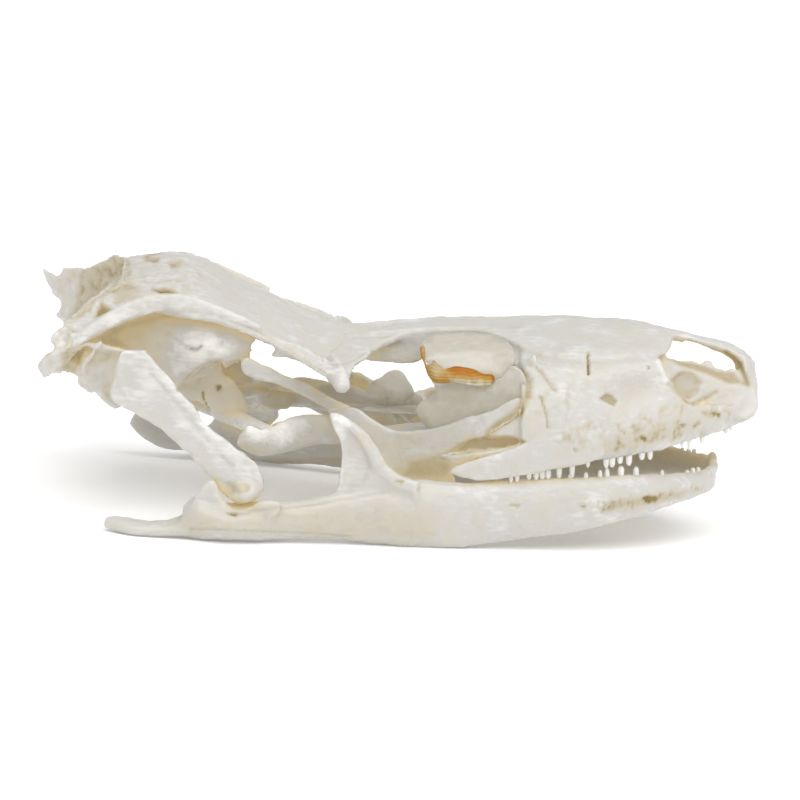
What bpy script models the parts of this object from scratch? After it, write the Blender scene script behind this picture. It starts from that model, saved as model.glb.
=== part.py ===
# Skull of a leopard gecko, prepared dry: cranium with teeth, two lower jaws, two quadrates, two epipterygoids
# and the dried remains of both eyes. +X is the snout, +Z up, the skull's right side lies at -Y.
# Shapes are given in millimetres with the frontal bone level, then scaled to metres and laid on the lower jaws.
import math

import bmesh
import bpy
from mathutils import Matrix, Vector
from mathutils.geometry import delaunay_2d_cdt

# Driving dimensions, in millimetres and degrees
MM = 0.001
REST_PITCH = 4.4
REST_SHIFT = (0.76, 0.0, -0.36)
BONE_WALL = 0.45
BLADE_WALL = 0.6
CAD_VOXEL = 0.2
SPLINE_STEPS = 4
SHEET_GRID = 0.6
JAW_SIDES = 12
QUADRATE_WALL = 0.8
SHARP_ANGLE = 50.0
FLAT_SKIN = 0.02

# Most triangles kept in each node
CRANIUM_TRIANGLES = 5200
JAW_TRIANGLES = 900
QUADRATE_TRIANGLES = 320
ROD_TRIANGLES = 110
EYE_TRIANGLES = 160

BONE_COLOUR = (0.80, 0.77, 0.69)
EYE_COLOUR = (0.62, 0.50, 0.33)

# Skull roof from the parietal to the nasals: x, then the half section as (y, z) from the edge to the middle
ROOF_SECTIONS = [
    (-11.4, [(-4.5, 9.8), (-3.2, 10.45), (-1.6, 10.75), (0.0, 10.9)]),
    (-9.6, [(-4.8, 9.6), (-3.6, 10.4), (-1.8, 10.95), (0.0, 11.1)]),
    (-8.2, [(-4.9, 9.35), (-3.7, 10.1), (-1.9, 10.65), (0.0, 10.85)]),
    (-6.8, [(-4.9, 9.05), (-3.6, 9.5), (-1.8, 9.75), (0.0, 9.9)]),
    (-5.2, [(-5.0, 8.4), (-3.6, 8.75), (-1.8, 9.05), (0.0, 9.2)]),
    (-3.8, [(-5.5, 7.7), (-3.7, 8.0), (-1.9, 8.3), (0.0, 8.45)]),
    (-2.6, [(-6.0, 7.2), (-3.8, 7.6), (-2.0, 7.9), (0.0, 8.15)]),
    (-1.6, [(-4.0, 7.5), (-2.8, 7.65), (-1.4, 7.85), (0.0, 8.0)]),
    (-0.6, [(-2.0, 7.8), (-1.4, 7.85), (-0.7, 7.95), (0.0, 8.0)]),
    (0.4, [(-1.4, 8.05), (-1.0, 8.1), (-0.5, 8.15), (0.0, 8.2)]),
    (1.8, [(-1.4, 8.2), (-1.0, 8.25), (-0.5, 8.3), (0.0, 8.3)]),
    (3.2, [(-1.6, 8.2), (-1.1, 8.25), (-0.6, 8.3), (0.0, 8.3)]),
    (4.3, [(-2.6, 8.1), (-1.8, 8.2), (-0.9, 8.25), (0.0, 8.3)]),
    (5.3, [(-3.6, 7.8), (-2.5, 8.1), (-1.3, 8.3), (0.0, 8.4)]),
    (6.6, [(-4.0, 7.6), (-2.8, 8.0), (-1.4, 8.3), (0.0, 8.45)]),
    (8.2, [(-3.8, 7.5), (-2.6, 7.95), (-1.3, 8.25), (0.0, 8.35)]),
    (9.8, [(-3.2, 7.45), (-2.2, 7.85), (-1.1, 8.15), (0.0, 8.25)]),
    (11.1, [(-2.3, 7.4), (-1.6, 7.7), (-0.8, 7.9), (0.0, 8.0)]),
]

# Side of the snout: x, then (y, z) from the nasal edge down to the tooth row
FACE_SECTIONS = [
    (5.0, [(-3.3, 7.75), (-4.8, 7.2), (-5.8, 6.3), (-6.1, 4.9), (-5.9, 3.3)]),
    (6.4, [(-3.3, 7.7), (-4.7, 7.15), (-5.4, 6.2), (-5.8, 4.8), (-5.6, 3.3)]),
    (8.0, [(-3.0, 7.65), (-4.3, 7.1), (-4.8, 6.2), (-5.3, 4.8), (-5.2, 3.55)]),
    (9.6, [(-2.6, 7.6), (-3.7, 7.1), (-4.1, 6.2), (-4.7, 4.9), (-4.6, 3.7)]),
    (10.8, [(-2.1, 7.5), (-3.1, 7.0), (-3.6, 6.1), (-4.1, 5.0), (-4.0, 3.8)]),
    (12.0, [(-1.6, 7.8), (-2.5, 7.0), (-2.9, 6.0), (-3.3, 5.0), (-3.1, 4.0)]),
    (13.2, [(-1.0, 7.5), (-1.8, 6.9), (-2.1, 6.0), (-2.3, 5.1), (-2.1, 4.2)]),
    (14.2, [(-0.6, 7.1), (-1.0, 6.6), (-1.2, 5.9), (-1.3, 5.1), (-1.0, 4.35)]),
    (14.7, [(0.1, 6.7), (0.1, 6.3), (0.1, 5.7), (0.1, 5.1), (0.1, 4.4)]),
]
# Openings of the snout side, as (x, z)
NOSTRIL = [(10.9, 9.0), (10.7, 7.3), (11.2, 6.2), (11.9, 5.5), (13.9, 5.2), (14.3, 5.7), (14.2, 7.0), (13.0, 9.0)]

# Braincase from the foramen magnum to the open front: x, then (y, z) from the top round the side to the base
BRAINCASE_SECTIONS = [
    (-12.7, [(0.0, 9.2), (-1.3, 8.9), (-2.0, 7.9), (-1.5, 6.7), (0.0, 6.3)]),
    (-11.7, [(0.0, 10.1), (-2.2, 9.7), (-3.2, 8.3), (-2.3, 6.3), (0.0, 5.4)]),
    (-10.2, [(0.0, 10.7), (-2.8, 10.0), (-3.9, 8.2), (-2.8, 5.9), (0.0, 5.0)]),
    (-8.6, [(0.0, 10.6), (-2.9, 9.8), (-4.0, 8.3), (-2.9, 6.3), (0.0, 5.3)]),
    (-7.2, [(0.0, 10.0), (-2.9, 9.4), (-3.9, 8.3), (-2.9, 6.8), (0.0, 5.7)]),
    (-6.1, [(0.0, 9.5), (-2.6, 9.0), (-3.6, 8.1), (-2.9, 7.3), (0.0, 6.8)]),
]
BRAINCASE_FRONT_NOTCH = [(-8.3, 6.7), (-7.4, 7.2), (-5.0, 7.6), (-5.0, 4.0), (-8.3, 4.0)]

# Lower jaw: x, y of its middle, half thickness, lower edge z, upper edge z
JAW_STATIONS = [
    (-8.6, -8.3, 0.7, 1.0, 2.3),
    (-8.0, -8.3, 1.0, 0.93, 2.8),
    (-7.4, -8.3, 1.1, 0.9, 2.6),
    (-6.7, -8.3, 1.1, 0.9, 2.05),
    (-5.7, -8.1, 1.0, 0.85, 2.1),
    (-4.9, -7.9, 0.8, 0.85, 2.45),
    (-3.8, -7.6, 0.7, 0.85, 2.4),
    (-2.5, -7.3, 0.7, 0.75, 2.7),
    (-1.3, -7.0, 0.7, 0.5, 2.95),
    (0.1, -6.8, 0.75, 0.3, 3.1),
    (1.4, -6.5, 0.75, 0.15, 3.0),
    (2.6, -6.3, 0.7, 0.15, 2.85),
    (4.0, -6.0, 0.65, 0.3, 2.9),
    (5.6, -5.7, 0.6, 0.45, 2.9),
    (7.2, -5.3, 0.55, 0.6, 2.88),
    (8.8, -4.8, 0.5, 0.85, 2.85),
    (10.2, -4.0, 0.5, 1.1, 2.75),
    (11.4, -3.0, 0.5, 1.3, 2.6),
    (12.4, -1.9, 0.5, 1.4, 2.5),
    (13.0, -1.0, 0.45, 1.55, 2.6),
    (13.15, -0.5, 0.35, 1.75, 2.5),
]
# Backward spurs of the lower jaws: x, y, z, half height, half width; the left one, written as if on the right,
# is short and bent up, and the left coronoid is lower
RIGHT_SPUR = [
    (-8.0, -8.3, 1.55, 0.55, 0.8),
    (-9.2, -8.3, 1.4, 0.33, 0.75),
    (-10.4, -8.4, 1.43, 0.32, 0.7),
    (-11.2, -8.3, 1.55, 0.34, 0.5),
    (-11.8, -8.2, 1.6, 0.2, 0.25),
]
LEFT_SPUR = [
    (-8.0, -8.2, 1.7, 0.6, 0.8),
    (-9.2, -8.1, 1.9, 0.55, 0.7),
    (-10.3, -8.0, 2.1, 0.6, 0.6),
    (-11.2, -7.9, 2.55, 0.5, 0.45),
    (-11.7, -7.9, 2.85, 0.25, 0.25),
]
LEFT_CREST_HEIGHT = 0.6
CORONOID = [
    (-2.5, 2.3), (-2.3, 3.6), (-2.3, 4.6), (-2.6, 5.3), (-2.75, 5.85), (-2.4, 5.9),
    (-1.7, 5.5), (-1.1, 4.9), (-0.6, 4.1), (-0.2, 3.5), (0.6, 3.1), (0.6, 2.3),
]

# Quadrate outline as (x, z), and where its head and condyle stand in y
QUADRATE = [
    (-11.1, 8.4), (-10.3, 8.5), (-9.6, 7.9), (-8.8, 6.9), (-8.1, 6.1), (-7.6, 5.4), (-6.6, 4.7),
    (-5.7, 4.0), (-5.4, 3.2), (-5.5, 2.7), (-6.2, 2.4), (-6.7, 2.5), (-7.2, 3.0), (-7.6, 3.5),
    (-8.4, 4.4), (-9.4, 5.2), (-10.4, 5.9), (-11.4, 6.4), (-11.5, 7.1),
]
QUADRATE_HEAD_Y = -7.2
QUADRATE_CONDYLE_Y = -8.2

EPIPTERYGOID = [
    (-6.15, -4.5, 7.25, 0.32, 0.26),
    (-5.2, -4.3, 6.9, 0.3, 0.25),
    (-4.2, -4.1, 6.45, 0.28, 0.25),
    (-3.3, -3.8, 6.0, 0.26, 0.24),
    (-2.7, -3.6, 5.7, 0.28, 0.26),
]

# Flattened bars as x, y, z, half width, half thickness, with the direction that the flat side faces
SIDE = (0.0, 1.0, 0.0)
UP = (0.0, 0.0, 1.0)
BACK = (1.0, -0.35, 0.0)
POSTPARIETAL_BAR = [
    (-7.6, -4.7, 9.5, 0.3, 0.3),
    (-8.8, -4.8, 9.9, 0.4, 0.3),
    (-10.0, -5.1, 9.95, 0.42, 0.3),
    (-11.2, -5.5, 9.6, 0.42, 0.28),
    (-12.2, -6.0, 9.1, 0.35, 0.28),
    (-13.2, -6.4, 8.6, 0.3, 0.3),
]
PAROCCIPITAL_BAR = [
    (-11.6, -2.4, 8.2, 1.0, 0.5),
    (-12.4, -4.0, 8.1, 0.75, 0.4),
    (-13.0, -5.3, 8.1, 0.8, 0.35),
    (-13.4, -6.1, 8.1, 0.8, 0.3),
]
PTERYGOID_BAR = [
    (-6.3, -6.5, 4.85, 0.55, 0.3),
    (-5.6, -6.0, 4.45, 0.6, 0.32),
    (-4.9, -5.2, 4.45, 0.65, 0.34),
    (-4.0, -4.4, 4.6, 0.7, 0.34),
    (-3.1, -3.7, 4.55, 0.65, 0.34),
    (-2.0, -3.4, 4.4, 0.5, 0.36),
    (-0.8, -3.2, 4.3, 0.4, 0.5),
]
UNDER_ORBIT_BAR = [
    (-2.6, -3.6, 4.6, 0.5, 0.35),
    (-1.5, -4.0, 4.45, 0.55, 0.35),
    (0.0, -4.2, 4.1, 0.5, 0.35),
    (1.3, -4.4, 4.25, 0.5, 0.32),
    (2.8, -5.3, 5.0, 0.5, 0.3),
    (4.0, -5.9, 5.45, 0.7, 0.3),
    (5.2, -5.8, 5.8, 0.9, 0.3),
]
MAXILLA_TAIL = [
    (2.2, -6.45, 3.45, 0.2, 0.25),
    (3.4, -6.35, 3.45, 0.42, 0.3),
    (4.6, -6.2, 3.7, 0.55, 0.32),
    (6.2, -5.75, 4.0, 0.75, 0.32),
]
LOWER_ORBIT_STRIP = [
    (0.0, -4.4, 3.7, 0.35, 0.25),
    (1.6, -5.8, 3.8, 0.22, 0.22),
    (3.4, -6.35, 4.05, 0.2, 0.22),
    (5.2, -6.1, 4.4, 0.25, 0.25),
]
POSTORBITAL_HOOK = [
    (-2.6, -5.2, 7.3, 0.6, 0.3),
    (-2.4, -6.0, 7.1, 0.45, 0.32),
    (-2.3, -6.3, 6.75, 0.34, 0.28),
    (-2.3, -6.35, 6.6, 0.2, 0.2),
]
NASAL_BAR = [
    (10.8, 0.0, 8.05, 0.8, 0.3),
    (12.2, 0.0, 7.65, 0.7, 0.25),
    (13.4, 0.0, 7.45, 0.65, 0.3),
    (14.25, 0.0, 6.95, 0.7, 0.35),
    (14.65, 0.0, 6.2, 0.9, 0.35),
    (14.7, 0.0, 5.3, 1.1, 0.35),
    (14.5, 0.0, 4.6, 1.0, 0.3),
]
SPHENOID_BAR = [
    (-12.8, 0.0, 6.2, 0.6, 0.5),
    (-11.6, 0.0, 5.5, 1.5, 0.4),
    (-9.8, 0.0, 5.1, 1.9, 0.4),
    (-8.0, 0.0, 5.1, 1.5, 0.4),
    (-6.6, 0.0, 5.4, 0.8, 0.35),
    (-4.5, 0.0, 5.5, 0.3, 0.28),
    (-1.5, 0.0, 5.3, 0.25, 0.25),
]
BASIPTERYGOID_BAR = [
    (-8.2, -0.8, 5.2, 0.8, 0.4),
    (-7.2, -2.4, 5.0, 0.6, 0.35),
    (-6.2, -4.2, 4.9, 0.5, 0.35),
    (-5.2, -5.6, 4.8, 0.4, 0.35),
]
SQUAMOSAL_BAR = [
    (-13.6, -6.5, 8.8, 0.4, 0.3),
    (-12.4, -6.5, 8.6, 0.4, 0.3),
    (-11.3, -6.3, 8.7, 0.3, 0.3),
]
# Plan of the palate's right half as (x, y)
PALATE = [
    (-3.4, -4.0), (-2.0, -3.7), (-0.6, -4.3), (0.9, -4.5), (1.2, -3.9), (1.8, -3.5), (3.4, -3.6),
    (4.9, -5.0), (6.4, -5.2), (7.6, -4.7), (9.4, -4.1), (11.4, -3.2), (13.0, -1.9), (14.0, -0.8), (14.0, 0.2),
    (9.0, 0.2), (4.0, -0.7), (1.0, -1.4), (-1.4, -2.4), (-3.4, -3.2),
]
# Back corners of the skull: the right one is a short lobe, the left one a longer spur with a raised edge
RIGHT_LOBE = [
    (-12.2, 8.7), (-13.1, 8.95), (-13.5, 9.05), (-13.8, 8.7), (-14.2, 8.1), (-14.5, 7.5),
    (-14.3, 7.25), (-13.6, 7.4), (-13.0, 7.15), (-12.5, 7.2),
]
LEFT_LOBE = [
    (-15.4, 9.7), (-14.7, 9.5), (-14.2, 9.85), (-13.7, 9.9), (-12.3, 10.5), (-11.9, 10.75), (-11.4, 10.6),
    (-11.1, 9.8), (-12.2, 8.7), (-13.3, 7.6), (-14.2, 7.3), (-14.6, 7.8), (-14.5, 8.3), (-14.9, 8.8),
]
# Side of the basisphenoid, front wall of the orbit and the bones inside the nostril, as (x, z)
SPHENOID_SIDE = [
    (-9.2, 6.1), (-8.4, 6.9), (-7.4, 7.3), (-7.2, 6.7), (-6.6, 6.0), (-6.4, 5.4), (-6.5, 4.9), (-7.2, 4.7),
    (-8.4, 5.3),
]
ORBIT_FRONT = [(4.8, 7.8), (4.3, 7.3), (4.1, 6.6), (3.8, 6.0), (4.3, 5.3), (5.5, 5.4), (5.6, 7.8)]
SEPTOMAXILLA = [
    (10.5, 6.6), (11.5, 6.65), (12.3, 6.55), (12.7, 6.75), (13.0, 6.4), (13.9, 6.25), (14.3, 5.5), (14.0, 4.7),
    (10.5, 4.7),
]
# Ear region behind the quadrate and the wall of the frontal, as (x, z)
EAR_PLATE = [
    (-13.8, 8.6), (-12.6, 9.0), (-11.4, 9.1), (-10.4, 8.9), (-10.0, 8.0), (-10.6, 7.0), (-11.6, 6.2),
    (-12.6, 6.4), (-13.0, 7.1), (-13.9, 7.4),
]
FRONTAL_WALL = [
    (-2.4, 8.1), (-1.8, 7.2), (-0.8, 6.95), (0.6, 6.9), (1.4, 7.2), (3.4, 7.4), (5.2, 7.2), (5.4, 8.3), (1.5, 8.4),
]
# Lower edge of the upper jaw as x, y, z, and where its teeth and those of the lower jaw stand along x
UPPER_JAW_EDGE = [
    (3.4, -6.3, 3.15),
    (4.6, -6.1, 3.2),
    (6.6, -5.5, 3.35),
    (8.2, -5.1, 3.65),
    (9.8, -4.5, 3.8),
    (11.4, -3.55, 3.95),
    (12.7, -2.5, 4.15),
    (13.9, -1.3, 4.35),
]
UPPER_TEETH_X = [4.7, 5.5, 6.0, 6.6, 7.3, 8.2, 8.9, 9.4, 10.1, 10.7, 11.5, 12.2, 13.1, 13.9]
LOWER_TEETH_X = [5.2, 6.2, 7.0, 7.8, 8.6, 9.2, 9.9, 10.6, 11.3, 11.9, 12.5]
TOOTH_SIDES = 6
TOOTH_LENGTH = 0.55
TOOTH_ROOT = 0.4
TOOTH_RADIUS = 0.16
TOOTH_TIP = 0.45
# Further forward than this x the upper teeth are shorter by this factor
FRONT_TEETH_X = 11.0
FRONT_TEETH_LENGTH = 0.7


def clear_scene():
    for thing in list(bpy.data.objects):
        bpy.data.objects.remove(thing, do_unlink=True)


def smooth_rows(rows, steps):
    """Catmull-Rom through rows of plain numbers."""
    ends = [[2 * a - b for a, b in zip(rows[0], rows[1])], [2 * a - b for a, b in zip(rows[-1], rows[-2])]]
    padded = [ends[0], *rows, ends[1]]
    path = []
    for i in range(1, len(padded) - 2):
        for k in range(steps):
            t = k / steps
            row = []
            for a, b, c, d in zip(*padded[i - 1:i + 3]):
                cubic = (3 * b - a - 3 * c + d) * t ** 3
                row.append(0.5 * (2 * b + (c - a) * t + (2 * a - 5 * b + 4 * c - d) * t * t + cubic))
            path.append(row)
    path.append(list(rows[-1]))
    return path


def loft(rings):
    """Closed body through rings of equal length, its ends closed."""
    bm = bmesh.new()
    rows = [[bm.verts.new(p) for p in ring] for ring in rings]
    count = len(rows[0])
    for low, high in zip(rows, rows[1:]):
        for k in range(count):
            bm.faces.new((low[k], low[(k + 1) % count], high[(k + 1) % count], high[k]))
    bm.faces.new(rows[0][::-1])
    bm.faces.new(rows[-1])
    bmesh.ops.recalc_face_normals(bm, faces=bm.faces)
    return bm


def strut(stations, flat, sides=10):
    """Bar of elliptical sections. A station is x, y, z, half width, half thickness; flat is the thin direction."""
    path = smooth_rows(stations, SPLINE_STEPS)
    rings = []
    for i, row in enumerate(path):
        before = Vector(path[max(i - 1, 0)][:3])
        after = Vector(path[min(i + 1, len(path) - 1)][:3])
        along = (after - before).normalized()
        across = along.cross(Vector(flat)).normalized()
        thin = across.cross(along).normalized()
        centre = Vector(row[:3])
        ring = []
        for k in range(sides):
            turn = 2 * math.pi * k / sides
            ring.append(centre + across * row[3] * math.cos(turn) + thin * row[4] * math.sin(turn))
        rings.append(ring)
    return loft(rings)


def inside(point, outline):
    x, y = point
    odd = False
    for (ax, ay), (bx, by) in zip(outline, outline[1:] + outline[:1]):
        if (ay > y) != (by > y) and x < ax + (y - ay) * (bx - ax) / (by - ay):
            odd = not odd
    return odd


def thicken(bm, wall):
    """Closed body of even thickness about an open sheet."""
    bm.normal_update()
    half = wall / 2
    outer = {v: v.co + v.normal * half for v in bm.verts}
    inner = {v: v.co - v.normal * half for v in bm.verts}
    solid = bmesh.new()
    top = {v: solid.verts.new(co) for v, co in outer.items()}
    low = {v: solid.verts.new(co) for v, co in inner.items()}
    for face in bm.faces:
        solid.faces.new([top[v] for v in face.verts])
        solid.faces.new([low[v] for v in reversed(face.verts)])
    for edge in bm.edges:
        if len(edge.link_faces) == 1:
            loop = edge.link_loops[0]
            a, b = loop.vert, loop.link_loop_next.vert
            solid.faces.new((top[b], top[a], low[a], low[b]))
    bm.free()
    bmesh.ops.recalc_face_normals(solid, faces=solid.faces)
    return solid


def sheet(outline, place, wall, holes=()):
    """Smooth-edged sheet. place turns (u, v) of the outline into a point."""
    edge = [tuple(p) for p in smooth_rows(outline + outline[:1], SPLINE_STEPS)[:-1]]
    low_u = min(p[0] for p in edge)
    low_v = min(p[1] for p in edge)
    count_u = int((max(p[0] for p in edge) - low_u) / SHEET_GRID) + 1
    count_v = int((max(p[1] for p in edge) - low_v) / SHEET_GRID) + 1
    points = list(edge)
    for i in range(count_u):
        for j in range(count_v):
            point = (low_u + (i + 0.5) * SHEET_GRID, low_v + (j + 0.5) * SHEET_GRID)
            if inside(point, edge):
                points.append(point)
    border = [(k, (k + 1) % len(edge)) for k in range(len(edge))]
    flat, _, faces, _, _, _ = delaunay_2d_cdt([Vector(p) for p in points], border, [], 1, 1e-5)
    bm = bmesh.new()
    verts = [bm.verts.new(place(p[0], p[1])) for p in flat]
    for face in faces:
        middle = sum((flat[k] for k in face), Vector((0.0, 0.0))) / len(face)
        if not any(inside(middle, hole) for hole in holes):
            bm.faces.new([verts[k] for k in face])
    drop_loose(bm)
    return thicken(bm, wall)


def drop_loose(bm):
    loose = [v for v in bm.verts if not v.link_faces]
    bmesh.ops.delete(bm, geom=loose, context="VERTS")
    bm.normal_update()


def shell(sections, wall, both_sides, holes=()):
    """Sheet through cross sections, each an x and its (y, z) points."""
    rows = []
    for x, half in sections:
        points = [(x, y, z) for y, z in half]
        if both_sides:
            points += [(x, -y, z) for y, z in reversed(half) if y < 0]
        row = []
        for point in smooth_rows(points, SPLINE_STEPS):
            row += point
        rows.append(row)
    rows = smooth_rows(rows, SPLINE_STEPS)
    bm = bmesh.new()
    grid = []
    for row in rows:
        grid.append([bm.verts.new(row[k:k + 3]) for k in range(0, len(row), 3)])
    for low, high in zip(grid, grid[1:]):
        for k in range(len(low) - 1):
            corners = (low[k], low[k + 1], high[k + 1], high[k])
            middle = sum((v.co for v in corners), Vector()) / 4
            if not any(inside((middle.x, middle.z), hole) for hole in holes):
                bm.faces.new(corners)
    drop_loose(bm)
    return thicken(bm, wall)


def tube(sections, wall, holes=()):
    """Closed ring of cross sections round the middle plane, opened by the holes."""
    closed = []
    for x, half in sections:
        ring = list(half) + [(-y, z) for y, z in reversed(half) if y < 0]
        closed.append((x, ring + ring[:1]))
    return shell(closed, wall, False, holes)


def blob(centre, radii):
    bm = bmesh.new()
    bmesh.ops.create_uvsphere(bm, u_segments=14, v_segments=8, radius=1.0)
    matrix = Matrix.Translation(centre) @ Matrix.Diagonal((*radii, 1.0))
    bmesh.ops.transform(bm, matrix=matrix, verts=bm.verts)
    return bm


def mirrored(bm):
    copy = bm.copy()
    bmesh.ops.transform(copy, matrix=Matrix.Diagonal((1.0, -1.0, 1.0, 1.0)), verts=copy.verts)
    bmesh.ops.reverse_faces(copy, faces=copy.faces)
    return copy


def both(bodies):
    return bodies + [mirrored(bm) for bm in bodies]


def joined(bodies):
    """One mesh that holds all the bodies, still separate."""
    total = bmesh.new()
    for bm in bodies:
        held = bpy.data.meshes.new("held")
        bm.to_mesh(held)
        total.from_mesh(held)
        bpy.data.meshes.remove(held)
        bm.free()
    return total


def temporary(bm):
    mesh = bpy.data.meshes.new("work")
    bm.to_mesh(mesh)
    bm.free()
    thing = bpy.data.objects.new("work", mesh)
    bpy.context.scene.collection.objects.link(thing)
    return thing


def evaluated_mesh(thing):
    graph = bpy.context.evaluated_depsgraph_get()
    graph.update()
    return bpy.data.meshes.new_from_object(thing.evaluated_get(graph))


def discard(*things):
    for thing in things:
        bpy.data.objects.remove(thing, do_unlink=True)


def largest_body(bm):
    """Leaves the widest connected body, so no sealed cavity or crumb stays."""
    left = set(bm.verts)
    bodies = []
    while left:
        front = [left.pop()]
        body = set(front)
        while front:
            for edge in front.pop().link_edges:
                for v in edge.verts:
                    if v not in body:
                        body.add(v)
                        front.append(v)
        left -= body
        bodies.append(body)
    best = max(bodies, key=len)
    extra = [v for v in bm.verts if v not in best]
    bmesh.ops.delete(bm, geom=extra, context="VERTS")


def fuse(bodies, triangles, smooth_rounds=2):
    """Grows the bodies into one closed bone surface."""
    thing = temporary(joined(bodies))
    remesh = thing.modifiers.new("grow together", "REMESH")
    remesh.mode = "VOXEL"
    remesh.voxel_size = CAD_VOXEL
    smooth = thing.modifiers.new("soften", "SMOOTH")
    smooth.factor = 0.5
    smooth.iterations = smooth_rounds
    mesh = evaluated_mesh(thing)
    bm = bmesh.new()
    bm.from_mesh(mesh)
    bpy.data.meshes.remove(mesh)
    discard(thing)
    largest_body(bm)
    bmesh.ops.triangulate(bm, faces=bm.faces)
    thing = temporary(bm)
    reduce = thing.modifiers.new("fewer faces", "DECIMATE")
    reduce.ratio = min(1.0, triangles / len(thing.data.polygons))
    mesh = evaluated_mesh(thing)
    discard(thing)
    bm = bmesh.new()
    bm.from_mesh(mesh)
    bpy.data.meshes.remove(mesh)
    largest_body(bm)
    return bm


def tooth(base, tip, radius):
    """Blunt peg, its root inside the bone."""
    along = Vector(tip) - Vector(base)
    turn = along.to_track_quat("Z", "Y").to_matrix().to_4x4()
    bm = bmesh.new()
    bmesh.ops.create_cone(
        bm, cap_ends=True, segments=TOOTH_SIDES, radius1=radius, radius2=radius * TOOTH_TIP, depth=along.length
    )
    middle = (Vector(base) + Vector(tip)) / 2
    bmesh.ops.transform(bm, matrix=Matrix.Translation(middle) @ turn, verts=bm.verts)
    return bm


def between(rows, x):
    """The row's other numbers at x, along rows sorted by x."""
    for low, high in zip(rows, rows[1:]):
        if low[0] <= x <= high[0]:
            t = (x - low[0]) / (high[0] - low[0])
            return [a + (b - a) * t for a, b in zip(low[1:], high[1:])]
    return list(rows[-1][1:])


def upper_teeth():
    pegs = []
    for x in UPPER_TEETH_X:
        y, z = between(UPPER_JAW_EDGE, x)
        length = TOOTH_LENGTH if x < FRONT_TEETH_X else TOOTH_LENGTH * FRONT_TEETH_LENGTH
        pegs.append(tooth((x, y, z + TOOTH_ROOT), (x, y, z - length), TOOTH_RADIUS))
    return pegs


def lower_teeth():
    row = [(x, y, top) for x, y, _, _, top in JAW_STATIONS]
    pegs = []
    for x in LOWER_TEETH_X:
        y, z = between(row, x)
        pegs.append(tooth((x, y, z - TOOTH_ROOT), (x, y, z + TOOTH_LENGTH - 0.1), TOOTH_RADIUS))
    return pegs


def with_teeth(bm, pegs):
    """Boolean union, so each tooth is one piece with its jaw."""
    body = temporary(bm)
    row = temporary(joined(pegs))
    union = body.modifiers.new("rooted", "BOOLEAN")
    union.operation = "UNION"
    union.solver = "EXACT"
    union.object = row
    mesh = evaluated_mesh(body)
    discard(body, row)
    rooted = bmesh.new()
    rooted.from_mesh(mesh)
    bpy.data.meshes.remove(mesh)
    return rooted


def braincase():
    plate = sheet(EAR_PLATE, lambda x, z: Vector((x, -5.2 + 0.45 * (x + 10.0), z)), BLADE_WALL)
    sphenoid = sheet(SPHENOID_SIDE, lambda x, z: Vector((x, -2.9 - 0.15 * (x + 8.0), z)), BLADE_WALL)
    halves = [
        plate,
        sphenoid,
        strut(PAROCCIPITAL_BAR, BACK),
        strut(SQUAMOSAL_BAR, SIDE),
        strut(BASIPTERYGOID_BAR, UP),
        strut(POSTPARIETAL_BAR, SIDE),
    ]
    return both(halves) + [
        sheet(RIGHT_LOBE, lambda x, z: Vector((x, -5.8 + 0.35 * (x + 12.4), z)), BLADE_WALL),
        sheet(LEFT_LOBE, lambda x, z: Vector((x, 2.6 + 0.95 * (-11.4 - x), z)), BLADE_WALL),
        tube(BRAINCASE_SECTIONS, BLADE_WALL, [BRAINCASE_FRONT_NOTCH]),
        strut(SPHENOID_BAR, UP),
        blob((-12.9, 0.0, 6.0), (0.55, 0.7, 0.45)),
    ]


def palate():
    plan = sheet(PALATE, lambda x, y: Vector((x, y, 4.3 + 0.02 * x)), BLADE_WALL)
    halves = [
        plan,
        strut(PTERYGOID_BAR, SIDE),
        strut(UNDER_ORBIT_BAR, SIDE),
        strut(LOWER_ORBIT_STRIP, SIDE),
        strut(MAXILLA_TAIL, SIDE),
    ]
    return both(halves)


def skull_roof():
    wall = sheet(FRONTAL_WALL, lambda x, z: Vector((x, -1.25, z)), BONE_WALL)
    halves = [wall, strut(POSTORBITAL_HOOK, SIDE)]
    return both(halves) + [
        shell(ROOF_SECTIONS, BONE_WALL, True),
        strut(NASAL_BAR, UP),
    ]


def snout():
    inner = sheet(SEPTOMAXILLA, lambda x, z: Vector((x, -0.55, z)), BONE_WALL)
    front = sheet(ORBIT_FRONT, lambda x, z: Vector((x, -4.9 - 0.35 * (x - 4.8) + 0.3 * (z - 6.0), z)), BONE_WALL)
    return both([inner, front, shell(FACE_SECTIONS, BONE_WALL, False, [NOSTRIL])])


def cranium():
    bone = fuse(braincase() + palate() + skull_roof() + snout(), CRANIUM_TRIANGLES)
    return with_teeth(bone, both(upper_teeth()))


def worn_flat(bm):
    """Sets the lowest skin of a jaw level with the ground, so that it has faces to stand on."""
    turn = Matrix.Rotation(-math.radians(REST_PITCH), 4, "Y")
    stand = Matrix.Translation(REST_SHIFT) @ turn
    back = stand.inverted()
    for v in bm.verts:
        placed = stand @ v.co
        if placed.z < FLAT_SKIN:
            placed.z = 0.0
            v.co = back @ placed


def lower_jaw(spur, crest_height):
    rows = smooth_rows(JAW_STATIONS, SPLINE_STEPS)
    rings = []
    for x, y, half, low, high in rows:
        middle = (low + high) / 2
        tall = (high - low) / 2
        ring = []
        for k in range(JAW_SIDES):
            turn = 2 * math.pi * k / JAW_SIDES
            ring.append(Vector((x, y + half * math.cos(turn), middle + tall * math.sin(turn))))
        rings.append(ring)
    root = CORONOID[0][1]
    crest = sheet(CORONOID, lambda x, z: Vector((x, -7.2, root + crest_height * (z - root))), BLADE_WALL)
    bone = fuse([loft(rings), crest, strut(spur, SIDE)], JAW_TRIANGLES, 1)
    worn_flat(bone)
    return with_teeth(bone, lower_teeth())


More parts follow.
